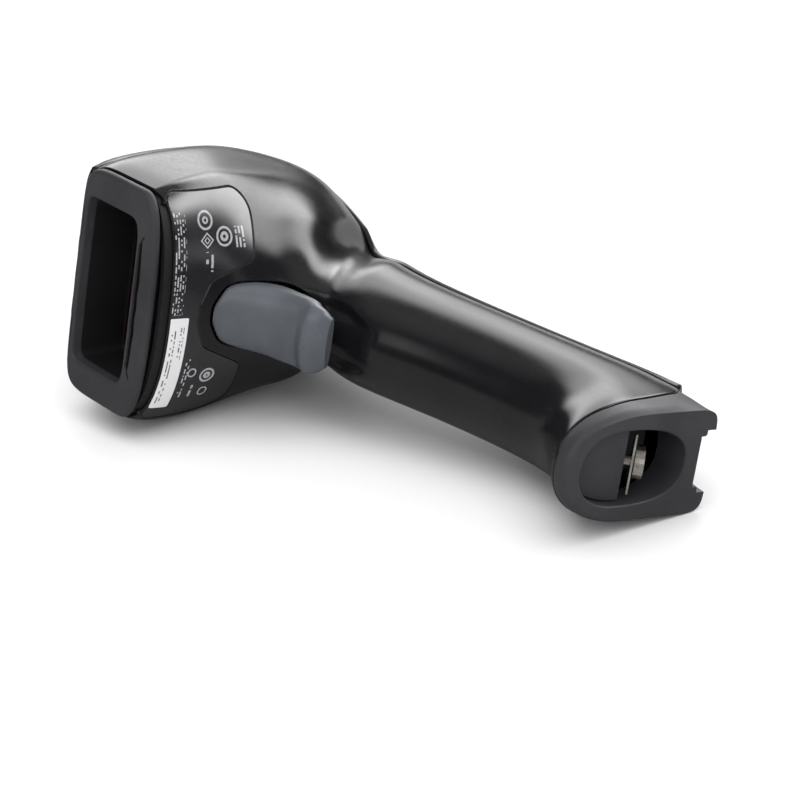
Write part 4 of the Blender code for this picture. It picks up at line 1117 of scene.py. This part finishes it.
def collar_side(angles):
    """Rings of the collar's side, from inside the seam to where it turns into the rim."""
    seam = COLLAR_TOP + foot_seam(angles)
    rings = [surface(seam, angles, COLLAR_INSET + COLLAR_WALL)]
    for depth in (COLLAR_EDGE, 0.15, 0.0):
        rings.append(surface(seam + 0.012 * (COLLAR_EDGE - depth), angles, COLLAR_INSET + depth))
    for share in np.linspace(0.08, 1.0, 12):
        stations = seam * (1 - share) + COLLAR_SIDE_END * share
        rings.append(surface(stations, angles, COLLAR_INSET))
    return rings


def build_collar():
    """Foot collar with its turned-in rim, opening and heel prongs."""
    count = 200
    angles = ring_angles(body_row(COLLAR_TOP), count)
    rings = collar_side(angles)
    side = rings[-1]
    below = side - surface(np.full(count, COLLAR_SIDE_END - 0.06), angles, COLLAR_INSET)
    below /= np.linalg.norm(below, axis=1, keepdims=True)
    rim = even_ring(FOOT_RIM, count)
    reach = np.linalg.norm(rim - side, axis=1, keepdims=True)
    for share in np.linspace(0.12, 0.88, 7):
        bend = side + below * reach * 0.55 * share
        straight = side * (1 - share) + rim * share
        blend = share * share
        bulge = below * reach * COLLAR_BULGE * math.sin(math.pi * share)
        rings.append(bend * (1 - blend) + straight * blend + bulge)
    rings.append(rim)
    opening = even_ring(FOOT_OPENING, count)
    outward = ring_normals(opening)
    inner_edge = opening + outward * OPENING_EDGE
    for share in (0.04, 0.3, 0.6, 0.9, 1.0):
        rings.append(rim * (1 - share) + inner_edge * share)
    rings += round_edge(opening, outward, -battery_axis(), OPENING_EDGE, 4, start=1)
    heel_x, heel_z, toe_x, toe_z = FOOT_OPENING[:4]
    lean = math.tan(math.radians(BATTERY_LEAN))
    heel_rise, toe_rise = OPENING_RISE
    top_row = (heel_x - lean * heel_rise, heel_z + heel_rise,
               toe_x - lean * toe_rise, toe_z + toe_rise) + FOOT_OPENING[4:]
    rings.append(even_ring(top_row, count))
    bm = ring_loft(rings)
    collar = to_object("foot_collar_body", bm, MATERIALS["bumper_grey"], "housing",
                       ["foot_collar"])
    notch_heel(collar)


def notch_heel(collar):
    """Cut the notch between the two heel prongs out of the collar."""
    half_width, notch_x = HEEL_NOTCH
    rear_x, bottom_z, height = HEEL_CUTTER
    middle = ((notch_x + rear_x) / 2, 0.0, bottom_z + height / 2)
    size = (notch_x - rear_x, 2 * half_width, height)
    bm = bmesh.new()
    bmesh.ops.create_cube(bm, size=1.0, matrix=Matrix.Translation(middle) @ Matrix.Diagonal((*size, 1.0)))
    corners = [e for e in bm.edges if all(abs(v.co.x - notch_x) < 0.01 for v in e.verts)]
    bmesh.ops.bevel(bm, geom=corners, offset=HEEL_NOTCH_CORNER, segments=5, affect="EDGES")
    bm.transform(SCANNER)
    cutter = mesh_object("heel_notch_cutter", bm)
    boolean = collar.modifiers.new("notch", "BOOLEAN")
    boolean.operation = "DIFFERENCE"
    boolean.solver = "EXACT"
    boolean.object = cutter
    depsgraph = bpy.context.evaluated_depsgraph_get()
    notched = bpy.data.meshes.new_from_object(collar.evaluated_get(depsgraph))
    collar.modifiers.clear()
    collar.data = notched
    bpy.data.objects.remove(cutter)


# ---- floor, light and camera
CAMERA_AT = (369.52, 222.19, -567.43)
CAMERA_AIM = (-58.11, -13.83, -64.13)
CAMERA_ROLL = -2.431        # degrees
CAMERA_LENS = 116.07

# Soft strip lights seen in reflections: azimuth, half width in degrees, sine of the lowest and
# highest elevation, brightness
STRIPS = ((78.0, 52.0, 0.36, 0.68, 6.5), (145.0, 22.0, 0.42, 0.7, 2.6), (152.0, 18.0, 0.14, 0.42, 3.2),
          (-70.0, 40.0, 0.3, 0.7, 1.2))
STRIP_SIDE_FADE = 10.0      # degrees either side of a strip's end over which it fades
STRIP_FOOT_FADE = (-0.07, 0.12)
STRIP_TOP_FADE = (-0.08, 0.08)
ROOM_GLOSS = 0.06
FLOOR_RADIUS = 6.0          # metres
# share of the floor's colour that glossy rays see: a painted, dimmed reflection of the floor
FLOOR_IN_REFLECTIONS = 0.35
FLOOR_GLOW = (0.4, 1.6, 0.0, 0.5)       # distances over which the floor lightens, glow there
CEILING_FADE = (0.7, 0.95)  # sine of the elevations over which the ceiling appears
CEILING_GLOSS = 0.5
ROOM_DIFFUSE = 0.72


def build_camera():
    """Camera at the viewing angle of a low three-quarter shot from the mouth's side."""
    camera = link_object("camera", bpy.data.cameras.new("camera"))
    at, aim = SCANNER @ Vector(CAMERA_AT), SCANNER @ Vector(CAMERA_AIM)
    turn = (aim - at).to_track_quat("-Z", "Y").to_matrix().to_4x4()
    roll = Matrix.Rotation(math.radians(CAMERA_ROLL), 4, "Z")
    camera.matrix_world = Matrix.Translation(at) @ turn @ roll
    camera.data.lens = CAMERA_LENS
    camera.data.clip_start = 0.01
    bpy.context.scene.camera = camera


def build_floor():
    """A plain pale floor; reflections see it painted darker than the camera does."""
    bm = bmesh.new()
    bmesh.ops.create_circle(bm, cap_ends=True, segments=96, radius=FLOOR_RADIUS)
    floor = mesh_object("floor", bm)
    s = Shader("floor_paper")
    mirrored = s.node("LightPath").outputs["Is Glossy Ray"]
    tint = s.math("MULTIPLY", s.remap(s.noise(6.0, 2.0), 0.3, 0.7, 0.83, 0.87),
                  s.remap(mirrored, 0.0, 1.0, 1.0, FLOOR_IN_REFLECTIONS))
    glow = s.remap(s.vector("LENGTH", {0: s.coords}, "Value"), *FLOOR_GLOW)
    floor.data.materials.append(s.finish(Base_Color=tint, Roughness=0.45, Specular_IOR_Level=0.25,
                                         Emission_Color=(1, 1, 1, 1), Emission_Strength=glow))


def build_light(name, location, aim, size, power):
    """A rectangular area light that reflections don't show."""
    light = bpy.data.lights.new(name, "AREA")
    light.shape = "RECTANGLE"
    light.size, light.size_y = size
    light.energy = power
    obj = link_object(name, light)
    obj.location = location
    obj.rotation_euler = (Vector(aim) - Vector(location)).to_track_quat("-Z", "Y").to_euler()
    obj.visible_glossy = False


def build_world():
    """White to the camera, an even room to matt surfaces, soft strips in reflections."""
    world = bpy.data.worlds.new("studio")
    bpy.context.scene.world = world
    world.use_nodes = True
    s = Nodes(world.node_tree)

    def window(value, *bounds):
        return s.remap(value, *bounds, interpolation_type="SMOOTHSTEP")

    def choose(share, a, b):
        return s.node("Mix", {"Factor": share, "A": a, "B": b}, data_type="FLOAT").outputs["Result"]

    rays = s.node("LightPath").outputs
    toward = s.node("TexCoord").outputs["Generated"]
    height = s.node("SeparateXYZ", {0: toward}).outputs["Z"]
    level = s.vector("MULTIPLY", {0: toward, 1: (1, 1, 0)}, 0)
    heading = s.vector("NORMALIZE", {0: level}, 0)
    total = window(height, *CEILING_FADE, ROOM_GLOSS, CEILING_GLOSS)
    for azimuth, spread, low, high, strength in STRIPS:
        turn = math.radians(azimuth)
        toward_strip = (math.cos(turn), math.sin(turn), 0)
        closeness = s.vector("DOT_PRODUCT", {0: heading, 1: toward_strip}, "Value")
        edge_out = math.cos(math.radians(spread + STRIP_SIDE_FADE))
        edge_in = math.cos(math.radians(spread - STRIP_SIDE_FADE))
        band = window(closeness, edge_out, edge_in, 0.0, strength)
        rise = window(height, low + STRIP_FOOT_FADE[0], low + STRIP_FOOT_FADE[1], 0.0, 1.0)
        fall = window(height, high + STRIP_TOP_FADE[0], high + STRIP_TOP_FADE[1], 1.0, 0.0)
        total = s.math("ADD", total, s.math("MULTIPLY", band, s.math("MULTIPLY", rise, fall)))
    background = s.tree.nodes["Background"]
    background.inputs["Color"].default_value = (1, 1, 1, 1)
    unseen = choose(rays["Is Glossy Ray"], ROOM_DIFFUSE, total)
    s.set(background.inputs["Strength"], choose(rays["Is Camera Ray"], unseen, 1.0))


build_front_housing()
build_back_housing()
build_label()
build_bumper()
build_neck()
dress_cad_nodes()
build_collar()
to_object("trigger_body", trigger_bm, MATERIALS["trigger_grey"], "trigger", ["trigger"])
build_camera()
build_floor()
build_light("overhead_softbox", (0.3, -0.2, 1.2), (0, 0, 0), (1.6, 1.6), 15)
build_light("side_strip", (0.9, -0.5, 0.5), (0, 0, 0.03), (0.25, 0.5), 2.0)
build_world()
bpy.context.scene.view_settings.view_transform = "Standard"
